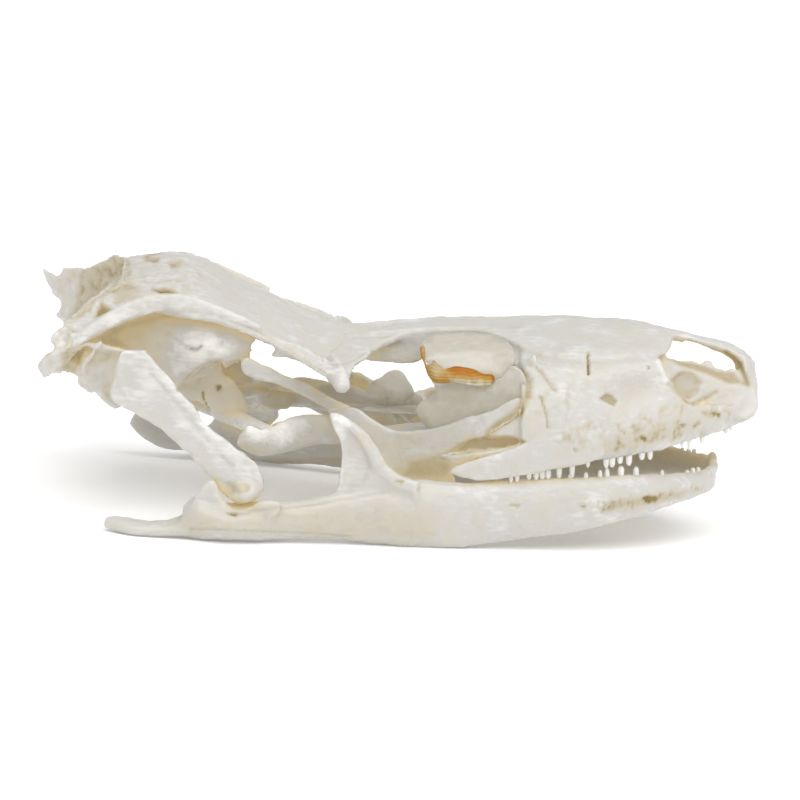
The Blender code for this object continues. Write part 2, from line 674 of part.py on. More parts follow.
def quadrate():
    top = QUADRATE[1][1]
    slope = (QUADRATE_CONDYLE_Y - QUADRATE_HEAD_Y) / (QUADRATE[10][1] - top)

    def place(x, z):
        return Vector((x, QUADRATE_HEAD_Y + slope * (z - top), z))

    pillar = sheet(QUADRATE, place, QUADRATE_WALL)
    knob = blob((-6.2, QUADRATE_CONDYLE_Y, 3.0), (0.75, 0.95, 0.55))
    return fuse([pillar, knob], QUADRATE_TRIANGLES)


def epipterygoid():
    return fuse([strut(EPIPTERYGOID, SIDE, 8)], ROD_TRIANGLES, 1)


def eye(centre, radii):
    return fuse([blob(centre, radii)], EYE_TRIANGLES, 1)


def material(name, colour, roughness):
    made = bpy.data.materials.new(name)
    made.use_nodes = True
    shader = made.node_tree.nodes["Principled BSDF"]
    shader.inputs["Base Color"].default_value = (*colour, 1.0)
    shader.inputs["Roughness"].default_value = roughness
    shader.inputs["Metallic"].default_value = 0.0
    made.diffuse_color = (*colour, 1.0)
    return made


def node(name, bm, made, collection, parent):
    """Turns a body in millimetres into a named object in metres under the resting empty."""
    bmesh.ops.triangulate(bm, faces=bm.faces)
    bmesh.ops.scale(bm, vec=(MM, MM, MM), verts=bm.verts)
    mesh = bpy.data.meshes.new(name)
    bm.to_mesh(mesh)
    bm.free()
    mesh.materials.append(made)
    mesh.shade_smooth()
    mesh.set_sharp_from_angle(angle=math.radians(SHARP_ANGLE))
    thing = bpy.data.objects.new(name, mesh)
    collection.objects.link(thing)
    thing.parent = parent
    return thing


def main():
    clear_scene()
    collection = bpy.data.collections.new("leopard_gecko_skull")
    bpy.context.scene.collection.children.link(collection)
    rest = bpy.data.objects.new("rest_pitch", None)
    collection.objects.link(rest)
    rest.rotation_euler = (0.0, -math.radians(REST_PITCH), 0.0)
    rest.location = [value * MM for value in REST_SHIFT]
    right_jaw = lower_jaw(RIGHT_SPUR, 1.0)
    left_jaw = mirrored(lower_jaw(LEFT_SPUR, LEFT_CREST_HEIGHT))
    right_quadrate = quadrate()
    left_quadrate = mirrored(right_quadrate)
    right_rod = epipterygoid()
    left_rod = mirrored(right_rod)
    bodies = {
        "cranium": cranium(),
        "mandible_right": right_jaw,
        "mandible_left": left_jaw,
        "quadrate_right": right_quadrate,
        "quadrate_left": left_quadrate,
        "epipterygoid_right": right_rod,
        "epipterygoid_left": left_rod,
        "eye_right": eye((2.45, -3.9, 7.35), (1.4, 0.8, 0.8)),
        "eye_left": eye((0.0, 2.7, 5.55), (0.6, 0.45, 0.35)),
    }
    for name, bm in bodies.items():
        is_eye = name.startswith("eye")
        made = material(name, EYE_COLOUR if is_eye else BONE_COLOUR, 0.3 if is_eye else 0.5)
        node(name, bm, made, collection, rest)


main()
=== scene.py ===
import math

import bmesh
import bpy
import numpy as np
from mathutils import Matrix, Vector, noise
from mathutils.bvhtree import BVHTree
from mathutils.geometry import delaunay_2d_cdt
from mathutils.kdtree import KDTree


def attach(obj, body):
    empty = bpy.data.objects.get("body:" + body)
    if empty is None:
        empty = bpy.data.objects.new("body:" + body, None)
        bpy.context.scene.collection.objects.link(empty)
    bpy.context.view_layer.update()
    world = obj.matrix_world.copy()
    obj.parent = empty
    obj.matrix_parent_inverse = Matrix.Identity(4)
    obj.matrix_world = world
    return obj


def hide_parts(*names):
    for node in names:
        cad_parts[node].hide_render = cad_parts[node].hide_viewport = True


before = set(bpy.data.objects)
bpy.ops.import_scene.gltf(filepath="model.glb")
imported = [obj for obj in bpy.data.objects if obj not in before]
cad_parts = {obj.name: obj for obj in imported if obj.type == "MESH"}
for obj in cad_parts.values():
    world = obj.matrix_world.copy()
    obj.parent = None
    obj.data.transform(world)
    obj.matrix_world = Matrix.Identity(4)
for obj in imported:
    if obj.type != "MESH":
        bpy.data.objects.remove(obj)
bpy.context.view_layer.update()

# Shapes are given in millimetres with the frontal bone level, +X the snout, -Y the skull's right side.
# They are then pitched and shifted as the skull rests on its jaws, and scaled to metres.
MM = 0.001
REST_PITCH = math.radians(4.4)
REST_SHIFT = (0.76, 0.0, -0.36)
STAND = Matrix.Translation(REST_SHIFT) @ Matrix.Rotation(-REST_PITCH, 4, "Y")

# The photograph's view: a long lens from the skull's right, a little above it
PICTURE = 800
VIEW_DOWN = math.radians(10.5)
VIEW_DISTANCE = 220.0
PIXELS_PER_MM = 24.0
SENSOR = 36.0
FOCAL_PIXELS = PIXELS_PER_MM * VIEW_DISTANCE
VIEW_TARGET = STAND @ Vector((0.0, 0.0, 5.1))
VIEW_ROLL = math.atan(math.tan(REST_PITCH) * math.cos(VIEW_DOWN))

# Thickness of stout plates, of most of them and of the thinnest, and of the eyes' dried skins
STOUT = 0.3
WALL = 0.26
THIN = 0.2
FILM = 0.12
THIN_FILM = 0.08
# Grid of the grown bone, which is fine enough for the thinnest plate, and of a flat sheet
GRID = 0.1
SHEET_GRID = 0.45
SOFTEN = 0.5
SOFTEN_ROUNDS = 2
# Points between two given ones, sides of a bar, of the jaw and of a knob
STEPS = 5
FACE_STEPS = 8
BAR_SIDES = 12
JAW_SIDES = 16
KNOB_SEGMENTS = (24, 14)
# Teeth of a broken edge for each mm, and where their noise is read
RAGGED_PER_MM = 2.6
RAGGED_SLICES = (0.7, 5.3)
WELD = 1e-5
# Directions in which bars are flat
SIDE = (0.0, 1.0, 0.0)
UP = (0.0, 0.0, 1.0)
BACK = (1.0, -0.35, 0.0)


def view_axes():
    """Directions of the view: ahead, to the right of the picture and up in it."""
    ahead = Vector((0.0, math.cos(VIEW_DOWN), -math.sin(VIEW_DOWN)))
    level = Vector((1.0, 0.0, 0.0))
    over = Vector((0.0, math.sin(VIEW_DOWN), math.cos(VIEW_DOWN)))
    right = level * math.cos(VIEW_ROLL) + over * math.sin(VIEW_ROLL)
    up = over * math.cos(VIEW_ROLL) - level * math.sin(VIEW_ROLL)
    return ahead, right, up


AHEAD, RIGHT, OVER = view_axes()
VIEW_FROM = VIEW_TARGET - AHEAD * VIEW_DISTANCE


def seen_at(points):
    """Where points of the standing skull, in mm, lie in the photograph's frame of 800 by 800."""
    away = np.asarray(points) - np.array(VIEW_FROM)
    depth = away @ np.array(AHEAD)
    across = PICTURE / 2 + FOCAL_PIXELS * (away @ np.array(RIGHT)) / depth
    down = PICTURE / 2 - FOCAL_PIXELS * (away @ np.array(OVER)) / depth
    return np.stack([across, down], axis=1)


def seen(across, down, y):
    """The point with this y, in the level frame, that shows at a place of the photograph."""
    ray = AHEAD + RIGHT * (across - PICTURE / 2) / FOCAL_PIXELS - OVER * (down - PICTURE / 2) / FOCAL_PIXELS
    point = VIEW_FROM + ray * ((y - VIEW_FROM.y) / ray.y)
    return STAND.inverted() @ point


# Smooth rows, sheets, bars and shells


def smooth_rows(rows, steps=STEPS):
    """Catmull-Rom through rows of plain numbers."""
    ends = [[2 * a - b for a, b in zip(rows[0], rows[1])], [2 * a - b for a, b in zip(rows[-1], rows[-2])]]
    padded = [ends[0], *rows, ends[1]]
    path = []
    for i in range(1, len(padded) - 2):
        for k in range(steps):
            t = k / steps
            row = []
            for a, b, c, d in zip(*padded[i - 1:i + 3]):
                cubic = (3 * b - a - 3 * c + d) * t ** 3
                row.append(0.5 * (2 * b + (c - a) * t + (2 * a - 5 * b + 4 * c - d) * t * t + cubic))
            path.append(row)
    path.append(list(rows[-1]))
    return path


def between(rows, x):
    """What the rows give at x, which is their first number."""
    for low, high in zip(rows, rows[1:]):
        if low[0] <= x <= high[0]:
            t = (x - low[0]) / (high[0] - low[0])
            return [a + (b - a) * t for a, b in zip(low[1:], high[1:])]
    return list(rows[-1][1:])


def loft(rings):
    """Closed body through rings of points."""
    bm = bmesh.new()
    rows = [[bm.verts.new(p) for p in ring] for ring in rings]
    count = len(rows[0])
    for low, high in zip(rows, rows[1:]):
        for k in range(count):
            bm.faces.new((low[k], low[(k + 1) % count], high[(k + 1) % count], high[k]))
    bm.faces.new(rows[0][::-1])
    bm.faces.new(rows[-1])
    bmesh.ops.recalc_face_normals(bm, faces=bm.faces)
    return bm


def strut(stations, flat=SIDE):
    """Bar of elliptical sections. A station is x, y, z, half width, and half thickness along flat."""
    path = smooth_rows(stations)
    rings = []
    for i, row in enumerate(path):
        before = Vector(path[max(i - 1, 0)][:3])
        after = Vector(path[min(i + 1, len(path) - 1)][:3])
        along = (after - before).normalized()
        across = along.cross(Vector(flat)).normalized()
        thin = across.cross(along).normalized()
        centre = Vector(row[:3])
        ring = []
        for k in range(BAR_SIDES):
            turn = 2 * math.pi * k / BAR_SIDES
            ring.append(centre + across * row[3] * math.cos(turn) + thin * row[4] * math.sin(turn))
        rings.append(ring)
    return loft(rings)


def inside(point, outline):
    """Whether a point lies in a closed outline."""
    x, y = point
    odd = False
    for (ax, ay), (bx, by) in zip(outline, outline[1:] + outline[:1]):
        if (ay > y) != (by > y) and x < ax + (y - ay) * (bx - ax) / (by - ay):
            odd = not odd
    return odd


def thicken(bm, wall):
    """Closed body of this thickness around an open sheet."""
    bm.normal_update()
    half = wall / 2
    solid = bmesh.new()
    top = {v: solid.verts.new(v.co + v.normal * half) for v in bm.verts}
    low = {v: solid.verts.new(v.co - v.normal * half) for v in bm.verts}
    for face in bm.faces:
        solid.faces.new([top[v] for v in face.verts])
        solid.faces.new([low[v] for v in reversed(face.verts)])
    for edge in bm.edges:
        if len(edge.link_faces) == 1:
            loop = edge.link_loops[0]
            a, b = loop.vert, loop.link_loop_next.vert
            solid.faces.new((top[b], top[a], low[a], low[b]))
    bm.free()
    bmesh.ops.recalc_face_normals(solid, faces=solid.faces)
    return solid


def drop_loose(bm):
    loose = [v for v in bm.verts if not v.link_faces]
    bmesh.ops.delete(bm, geom=loose, context="VERTS")
    bm.normal_update()


def sheet(outline, place, wall=WALL, holes=(), ragged=0.0, unit=1.0):
    """Sheet with a smooth edge, or a broken one where ragged is given in mm. place makes (u, v) a point."""
    edge = [tuple(p) for p in smooth_rows(outline + outline[:1])[:-1]]
    if ragged:
        broken = []
        for u, v in edge:
            at = Vector((u, v, 0.0)) * (RAGGED_PER_MM / unit)
            off = [noise.noise(at + Vector((0.0, 0.0, slice_at))) for slice_at in RAGGED_SLICES]
            broken.append((u + off[0] * ragged * unit, v + off[1] * ragged * unit))
        edge = broken
    grid = SHEET_GRID * unit
    low_u = min(p[0] for p in edge)
    low_v = min(p[1] for p in edge)
    count_u = int((max(p[0] for p in edge) - low_u) / grid) + 1
    count_v = int((max(p[1] for p in edge) - low_v) / grid) + 1
    points = list(edge)
    for hole in holes:
        points += hole
    for i in range(count_u):
        for j in range(count_v):
            point = (low_u + (i + 0.5) * grid, low_v + (j + 0.5) * grid)
            if inside(point, edge):
                points.append(point)
    border = [(k, (k + 1) % len(edge)) for k in range(len(edge))]
    start = len(edge)
    for hole in holes:
        border += [(start + k, start + (k + 1) % len(hole)) for k in range(len(hole))]
        start += len(hole)
    flat, _, faces, _, _, _ = delaunay_2d_cdt([Vector(p) for p in points], border, [], 1, WELD)
    bm = bmesh.new()
    verts = [bm.verts.new(place(p[0], p[1])) for p in flat]
    for face in faces:
        middle = sum((flat[k] for k in face), Vector((0.0, 0.0))) / len(face)
        if not any(inside(middle, hole) for hole in holes):
            bm.faces.new([verts[k] for k in face])
    drop_loose(bm)
    return thicken(bm, wall)


def drawn(outline, depths, wall=WALL, ragged=0.0, holes=(), lean=0.0, bulge=None, by_height=False):
    """Plate of the right side by its outline in the photograph. depths gives its y as (across, y), or as
    (down, y) by height. lean is the change of y for each pixel down from the outline's middle, and bulge is
    how many mm the plate swells outwards, around which centre and within which radii."""
    middle = sum(p[1] for p in outline) / len(outline)
    rows = [(-PICTURE, depths[0][1]), *depths, (2 * PICTURE, depths[-1][1])]

    def place(u, v):
        y = between(rows, v if by_height else u)[0] + lean * (v - middle)
        if bulge:
            out, (cu, cv), (ru, rv) = bulge
            y -= out * max(0.0, 1 - ((u - cu) / ru) ** 2 - ((v - cv) / rv) ** 2)
        return seen(u, v, y)

    return sheet(outline, place, wall, holes, ragged, PIXELS_PER_MM)


def traced(stations, flat=SIDE):
    """Bar of the right side by its line in the photograph: across, down, y, half width, half thickness."""
    return strut([(*seen(u, v, y), wide, thick) for u, v, y, wide, thick in stations], flat)


def shell(sections, wall, both_sides, holes=(), steps=STEPS):
    """Sheet through cross sections, each an x and its (y, z) points."""
    rows = []
    for x, half in sections:
        points = [(x, y, z) for y, z in half]
        if both_sides:
            points += [(x, -y, z) for y, z in reversed(half) if y < 0]
        row = []
        for point in smooth_rows(points, steps):
            row += point
        rows.append(row)
    rows = smooth_rows(rows, steps)
    bm = bmesh.new()
    grid = []
    for row in rows:
        grid.append([bm.verts.new(row[k:k + 3]) for k in range(0, len(row), 3)])
    for low, high in zip(grid, grid[1:]):
        for k in range(len(low) - 1):
            corners = (low[k], low[k + 1], high[k + 1], high[k])
            middle = sum((v.co for v in corners), Vector()) / 4
            if not any(inside((middle.x, middle.z), hole) for hole in holes):
                bm.faces.new(corners)
    drop_loose(bm)
    return thicken(bm, wall)


def tube(sections, wall, holes=()):
    """Closed shell through half cross sections that start and end on the middle plane."""
    closed = []
    for x, half in sections:
        ring = list(half) + [(-y, z) for y, z in reversed(half) if y < 0]
        closed.append((x, ring + ring[:1]))
    return shell(closed, wall, False, holes)


def knob(centre, radii):
    """Smooth swelling with three radii."""
    bm = bmesh.new()
    around, up = KNOB_SEGMENTS
    bmesh.ops.create_uvsphere(bm, u_segments=around, v_segments=up, radius=1.0)
    matrix = Matrix.Translation(centre) @ Matrix.Diagonal((*radii, 1.0))
    bmesh.ops.transform(bm, matrix=matrix, verts=bm.verts)
    return bm


def mirrored(bm):
    """The same body on the skull's other side."""
    copy = bm.copy()
    bmesh.ops.transform(copy, matrix=Matrix.Diagonal((1.0, -1.0, 1.0, 1.0)), verts=copy.verts)
    bmesh.ops.reverse_faces(copy, faces=copy.faces)
    return copy


def both(bodies):
    return bodies + [mirrored(bm) for bm in bodies]


def joined(bodies):
    """All the bodies in one, which uses them up."""
    total = bmesh.new()
    for bm in bodies:
        held = bpy.data.meshes.new("held")
        bm.to_mesh(held)
        total.from_mesh(held)
        bpy.data.meshes.remove(held)
        bm.free()
    return total


def crumbs_out(bm):
    """Leaves only the largest connected body."""
    left = set(bm.verts)
    bodies = []
    while left:
        front = [left.pop()]
        body = set(front)
        while front:
            for edge in front.pop().link_edges:
                for v in edge.verts:
                    if v not in body:
                        body.add(v)
                        front.append(v)
        left -= body
        bodies.append(body)
    best = max(bodies, key=len)
    extra = [v for v in bm.verts if v not in best]
    bmesh.ops.delete(bm, geom=extra, context="VERTS")


def grown(bodies):
    """The bodies as one bone surface, softened."""
    mesh = bpy.data.meshes.new("work")
    total = joined(bodies)
    total.to_mesh(mesh)
    total.free()
    thing = bpy.data.objects.new("work", mesh)
    bpy.context.scene.collection.objects.link(thing)
    remesh = thing.modifiers.new("grow together", "REMESH")
    remesh.mode = "VOXEL"
    remesh.voxel_size = GRID
    smooth = thing.modifiers.new("soften", "SMOOTH")
    smooth.factor = SOFTEN
    smooth.iterations = SOFTEN_ROUNDS
    graph = bpy.context.evaluated_depsgraph_get()
    graph.update()
    made = bpy.data.meshes.new_from_object(thing.evaluated_get(graph))
    bpy.data.objects.remove(thing, do_unlink=True)
    bm = bmesh.new()
    bm.from_mesh(made)
    bpy.data.meshes.remove(made)
    crumbs_out(bm)
    return bm


# Skull roof from the parietal to the nasals: x, then the half section as (y, z) from the edge to the middle
PARIETAL = [
    (-11.4, [(-4.5, 9.8), (-3.2, 10.45), (-1.6, 10.75), (0.0, 10.9)]),
    (-9.6, [(-4.8, 9.6), (-3.6, 10.4), (-1.8, 10.95), (0.0, 11.1)]),
    (-8.2, [(-4.9, 9.35), (-3.7, 10.1), (-1.9, 10.65), (0.0, 10.85)]),
    (-6.8, [(-4.9, 9.05), (-3.6, 9.5), (-1.8, 9.75), (0.0, 9.9)]),
    (-5.2, [(-5.0, 8.4), (-3.6, 8.75), (-1.8, 9.05), (0.0, 9.2)]),
    (-3.8, [(-5.5, 7.7), (-3.7, 8.0), (-1.9, 8.3), (0.0, 8.45)]),
    (-2.6, [(-6.0, 7.2), (-3.8, 7.6), (-2.0, 7.9), (0.0, 8.15)]),
    (-1.6, [(-4.0, 7.5), (-2.8, 7.65), (-1.4, 7.85), (0.0, 8.0)]),
    (-0.6, [(-2.0, 7.8), (-1.4, 7.85), (-0.7, 7.95), (0.0, 8.0)]),
    (0.4, [(-1.4, 8.05), (-1.0, 8.1), (-0.5, 8.15), (0.0, 8.2)]),
]
FRONTAL_NASAL = [
    (1.8, [(-1.4, 8.2), (-1.0, 8.25), (-0.5, 8.3), (0.0, 8.3)]),
    (3.2, [(-1.6, 8.2), (-1.1, 8.25), (-0.6, 8.3), (0.0, 8.3)]),
    (4.3, [(-2.6, 8.1), (-1.8, 8.2), (-0.9, 8.25), (0.0, 8.3)]),
    (5.3, [(-3.6, 7.8), (-2.5, 8.1), (-1.3, 8.3), (0.0, 8.4)]),
    (6.6, [(-4.0, 7.6), (-2.8, 8.0), (-1.4, 8.3), (0.0, 8.45)]),
    (8.2, [(-3.8, 7.5), (-2.6, 7.95), (-1.3, 8.25), (0.0, 8.35)]),
    (9.8, [(-3.2, 7.45), (-2.2, 7.85), (-1.1, 8.15), (0.0, 8.25)]),
    (10.95, [(-2.2, 7.4), (-1.5, 7.75), (-0.75, 7.95), (0.0, 8.05)]),
    (11.35, [(-0.6, 7.8), (-0.4, 7.85), (-0.2, 7.9), (0.0, 7.95)]),
    (11.8, [(-0.5, 7.65), (-0.35, 7.7), (-0.2, 7.75), (0.0, 7.8)]),
]
# Side of the snout, from its edge at the roof down to the teeth
FACE = [
    (5.0, [(-3.3, 7.75), (-4.8, 7.2), (-5.8, 6.3), (-6.1, 4.9), (-5.9, 3.3)]),
    (6.4, [(-3.3, 7.7), (-4.7, 7.15), (-5.4, 6.2), (-5.8, 4.8), (-5.6, 3.3)]),
    (8.0, [(-3.0, 7.65), (-4.3, 7.1), (-4.8, 6.2), (-5.3, 4.8), (-5.2, 3.55)]),
    (9.6, [(-2.6, 7.6), (-3.7, 7.1), (-4.1, 6.2), (-4.7, 4.9), (-4.6, 3.7)]),
    (10.8, [(-2.1, 7.5), (-3.1, 7.0), (-3.6, 6.1), (-4.1, 5.0), (-4.0, 3.8)]),
    (12.0, [(-1.6, 7.8), (-2.5, 7.0), (-2.9, 6.0), (-3.3, 5.0), (-3.1, 4.0)]),
    (13.2, [(-1.0, 7.5), (-1.8, 6.9), (-2.1, 6.0), (-2.3, 5.1), (-2.1, 4.2)]),
    (14.2, [(-0.6, 7.1), (-1.0, 6.6), (-1.2, 5.9), (-1.3, 5.1), (-1.0, 4.35)]),
    (14.7, [(0.1, 6.7), (0.1, 6.3), (0.1, 5.7), (0.1, 5.1), (0.1, 4.4)]),
]
# Openings, as x, z
NOSTRIL = [
    (10.9, 9.0), (10.7, 7.3), (11.2, 6.2), (11.9, 5.5), (13.9, 5.2), (14.3, 5.7), (14.2, 7.0), (13.0, 9.0),
]
BRAINCASE_NOTCH = [(-8.3, 6.7), (-7.4, 7.2), (-5.0, 7.6), (-5.0, 4.0), (-8.3, 4.0)]
# Box of the braincase: x, then the half section from its top to its floor
BRAINCASE = [
    (-12.7, [(0.0, 9.2), (-1.3, 8.9), (-2.0, 7.9), (-1.5, 6.7), (0.0, 6.3)]),
    (-11.7, [(0.0, 10.1), (-2.2, 9.7), (-3.2, 8.3), (-2.3, 6.3), (0.0, 5.4)]),
    (-10.2, [(0.0, 10.7), (-2.8, 10.0), (-3.9, 8.2), (-2.8, 5.9), (0.0, 5.0)]),
    (-8.6, [(0.0, 10.6), (-2.9, 9.8), (-4.0, 8.3), (-2.9, 6.3), (0.0, 5.3)]),
    (-7.2, [(0.0, 10.0), (-2.9, 9.4), (-3.9, 8.3), (-2.9, 6.8), (0.0, 5.7)]),
    (-6.6, [(0.0, 9.5), (-2.6, 9.0), (-3.6, 8.1), (-2.9, 7.3), (0.0, 6.8)]),
]

# Flattened bars as x, y, z, half width, half thickness
PAROCCIPITAL_BAR = [
    (-11.6, -2.4, 8.2, 1.0, 0.5),
    (-12.4, -4.0, 8.1, 0.75, 0.35),
    (-13.0, -5.3, 8.1, 0.8, 0.28),
    (-13.4, -6.1, 8.1, 0.8, 0.24),
]
PTERYGOID_BAR = [
    (-6.3, -6.5, 4.85, 0.5, 0.22),
    (-5.6, -6.0, 4.45, 0.6, 0.24),
    (-4.9, -5.2, 4.45, 0.65, 0.26),
    (-4.0, -4.4, 4.6, 0.7, 0.26),
    (-3.1, -3.7, 4.55, 0.65, 0.26),
    (-2.0, -3.4, 4.4, 0.5, 0.28),
    (-0.8, -3.2, 4.3, 0.4, 0.4),
]
SPHENOID_BAR = [
    (-12.8, 0.0, 6.2, 0.6, 0.5),
    (-11.6, 0.0, 5.5, 1.5, 0.35),
    (-9.8, 0.0, 5.1, 1.9, 0.35),
    (-8.0, 0.0, 5.1, 1.5, 0.35),
    (-6.6, 0.0, 5.4, 0.8, 0.3),
    (-5.4, 0.0, 5.5, 0.3, 0.2),
]
BASIPTERYGOID_BAR = [
    (-8.2, -0.8, 5.2, 0.8, 0.35),
    (-7.2, -2.4, 5.0, 0.55, 0.3),
    (-6.2, -4.2, 4.9, 0.45, 0.3),
    (-5.2, -5.6, 4.8, 0.35, 0.28),
]
# Palate seen from above: x, y, and its height at x = 0 with the rise for each mm forward
PALATE_HEIGHT = 4.3
PALATE_RISE = 0.02
PALATE = [
    (-3.4, -4.0), (-2.0, -3.7), (-0.6, -4.3), (0.9, -4.5), (1.2, -3.9), (1.8, -3.5), (3.4, -3.6),
    (4.9, -5.0), (6.4, -5.2), (7.6, -4.7), (9.4, -4.1), (11.4, -3.2), (13.0, -1.9), (14.0, -0.8),
        (14.0, 0.2),
    (9.0, 0.2), (4.0, -0.7), (1.0, -1.4), (-1.4, -2.4), (-3.4, -3.2),
]
# Rear corner of the skull roof seen from above: x, y, with its height and how it falls to the side
WING_HEIGHT = 10.85
WING_FALL = 0.047
PARIETAL_WING = [
    (-10.6, -1.6), (-11.4, -2.6), (-12.1, -3.6), (-12.8, -4.7), (-13.5, -6.0), (-13.3, -6.5), (-12.6, -6.2),
    (-12.0, -5.9), (-11.2, -5.4), (-10.2, -5.0), (-9.8, -3.6), (-10.0, -2.4),
]
# Plates that stand upright, as x, z. The left lobe spreads outwards behind its root.
LOBE_ROOT_X = -11.4
LOBE_ROOT_Y = 2.6
LOBE_SPREAD = 0.95
LEFT_LOBE = [
    (-15.4, 9.7), (-14.7, 9.5), (-14.2, 9.85), (-13.7, 9.9), (-12.3, 10.5), (-11.9, 10.75), (-11.4, 10.6),
    (-11.1, 9.8), (-12.2, 8.7), (-13.3, 7.6), (-14.2, 7.3), (-14.6, 7.8), (-14.5, 8.3), (-14.9, 8.8),
]
ORBIT_FRONT_MIDDLE = (4.8, -4.9, 6.0)
ORBIT_FRONT_SLOPE = (-0.35, 0.3)
ORBIT_FRONT = [(4.9, 7.1), (4.4, 6.95), (4.1, 6.6), (3.8, 6.0), (4.3, 5.3), (5.5, 5.4), (5.6, 7.8)]
SEPTOMAXILLA_Y = -0.4
SEPTOMAXILLA = [(10.5, 6.15), (12.6, 6.15), (13.6, 5.9), (14.2, 5.3), (14.0, 4.7), (10.5, 4.7)]
FRONTAL_WALL_Y = -1.25
FRONTAL_WALL = [
    (-2.4, 8.1), (-1.8, 7.2), (-0.8, 6.95), (0.6, 6.9), (1.4, 7.2), (3.4, 7.4), (5.2, 7.2), (5.4, 8.3),
        (1.5, 8.4),
]
# Edge that the upper teeth stand in: x, y, z
UPPER_JAW_EDGE = [
    (3.4, -6.3, 3.15),
    (4.6, -6.1, 3.2),
    (6.6, -5.5, 3.35),
    (8.2, -5.1, 3.65),
    (9.8, -4.5, 3.8),
    (11.4, -3.55, 3.95),
    (12.7, -2.5, 4.15),
    (13.9, -1.3, 4.35),
]

# Lower jaw: x, y of its middle, half thickness, lower edge z, upper edge z
JAW = [
    (-8.6, -8.3, 0.7, 1.0, 2.3),
    (-8.0, -8.3, 1.0, 0.93, 2.8),
    (-7.4, -8.3, 1.1, 0.9, 2.6),
    (-6.7, -8.3, 1.1, 0.9, 2.4),
    (-5.7, -8.1, 1.0, 0.85, 2.4),
    (-4.9, -7.9, 0.8, 0.85, 2.45),
    (-3.8, -7.6, 0.7, 0.85, 2.4),
    (-2.5, -7.3, 0.7, 0.75, 2.7),
    (-1.3, -7.0, 0.7, 0.5, 2.95),
    (0.1, -6.8, 0.75, 0.3, 3.1),
    (1.4, -6.5, 0.75, 0.15, 3.0),
    (2.6, -6.3, 0.7, 0.15, 2.85),
    (4.0, -6.0, 0.65, 0.3, 2.9),
    (5.6, -5.7, 0.6, 0.45, 2.9),
    (7.2, -5.3, 0.55, 0.6, 2.88),
    (8.8, -4.8, 0.5, 0.85, 2.85),
    (10.2, -4.0, 0.5, 1.1, 2.75),
    (11.4, -3.0, 0.5, 1.3, 2.6),
    (12.4, -1.9, 0.5, 1.4, 2.5),
    (13.0, -1.0, 0.45, 1.55, 2.6),
    (13.15, -0.5, 0.35, 1.75, 2.5),
]
# Backward spurs and chin. The left spur is short and bent up.
RIGHT_SPUR = [
    (-8.0, -8.3, 1.55, 0.55, 0.8),
    (-9.2, -8.3, 1.4, 0.33, 0.75),
    (-10.4, -8.4, 1.43, 0.32, 0.7),
    (-11.2, -8.3, 1.55, 0.34, 0.5),
    (-11.8, -8.2, 1.6, 0.2, 0.25),
]
LEFT_SPUR = [
    (-8.0, -8.2, 1.7, 0.6, 0.8),
    (-9.2, -8.1, 1.9, 0.55, 0.7),
    (-10.3, -8.0, 2.1, 0.6, 0.6),
    (-11.2, -7.9, 2.55, 0.5, 0.45),
    (-11.7, -7.9, 2.85, 0.25, 0.25),
]
CHIN = ((13.05, -0.7, 2.45), (0.22, 0.45, 0.3))
# Crest of the lower jaw, as x, z, and how high it is on the left as a share of the right
CREST_Y = -7.2
LEFT_CREST_HEIGHT = 0.6
CORONOID = [
    (-2.5, 2.3), (-2.3, 3.6), (-2.3, 4.6), (-2.6, 5.3), (-2.75, 5.85), (-2.4, 5.9),
    (-1.7, 5.5), (-1.1, 4.9), (-0.6, 4.1), (-0.2, 3.5), (0.6, 3.1), (0.6, 2.3),
]
# Thick front edge of the coronoid: x, z, half width
RIDGE_Y = -7.25
RIDGE_THICK = 0.24
CORONOID_RIDGE = [
    (-2.6, 5.7, 0.15), (-2.0, 5.4, 0.25), (-1.4, 4.7, 0.3), (-0.9, 3.9, 0.3), (-0.2, 3.2, 0.32),
    (0.8, 2.8, 0.3),
]
# Pillar between the ear and the jaw, as x, z, from its head to its rounded foot
QUADRATE = [
    (-11.1, 8.4), (-10.3, 8.5), (-9.6, 7.9), (-8.8, 6.9), (-8.1, 6.1), (-7.6, 5.4), (-6.6, 4.7),
    (-5.7, 4.0), (-5.4, 3.2), (-5.5, 2.7), (-6.2, 2.4), (-6.7, 2.5), (-7.2, 3.0), (-7.6, 3.5),
    (-8.4, 4.4), (-9.4, 5.2), (-10.4, 5.9), (-11.4, 6.4), (-11.5, 7.1),
]
QUADRATE_WALL = 0.6
QUADRATE_HEAD_Y = -7.2
QUADRATE_FOOT_Y = -8.2
QUADRATE_TOP = QUADRATE[1][1]
QUADRATE_BOTTOM = QUADRATE[10][1]
QUADRATE_FOOT = ((-6.2, QUADRATE_FOOT_Y, 3.0), (0.75, 0.95, 0.55))
OCCIPITAL_KNOB = ((-12.9, 0.0, 6.0), (0.55, 0.7, 0.45))

# Tips of the teeth of the right side as they show in the photograph
UPPER_TIPS = [
    (511, 483), (517, 483), (529, 480), (536, 480), (542, 479), (548, 479), (559, 478), (572, 478),
    (588, 468), (606, 468), (612, 467), (620, 463), (629, 465), (642, 459), (650, 459), (682, 447),
    (689, 451), (702, 443), (726, 433), (731, 431),
]
LOWER_TIPS = [
    (570, 474), (586, 472), (600, 470), (607, 468), (621, 467), (636, 467), (662, 470), (687, 470),
    (693, 468), (698, 467),
]


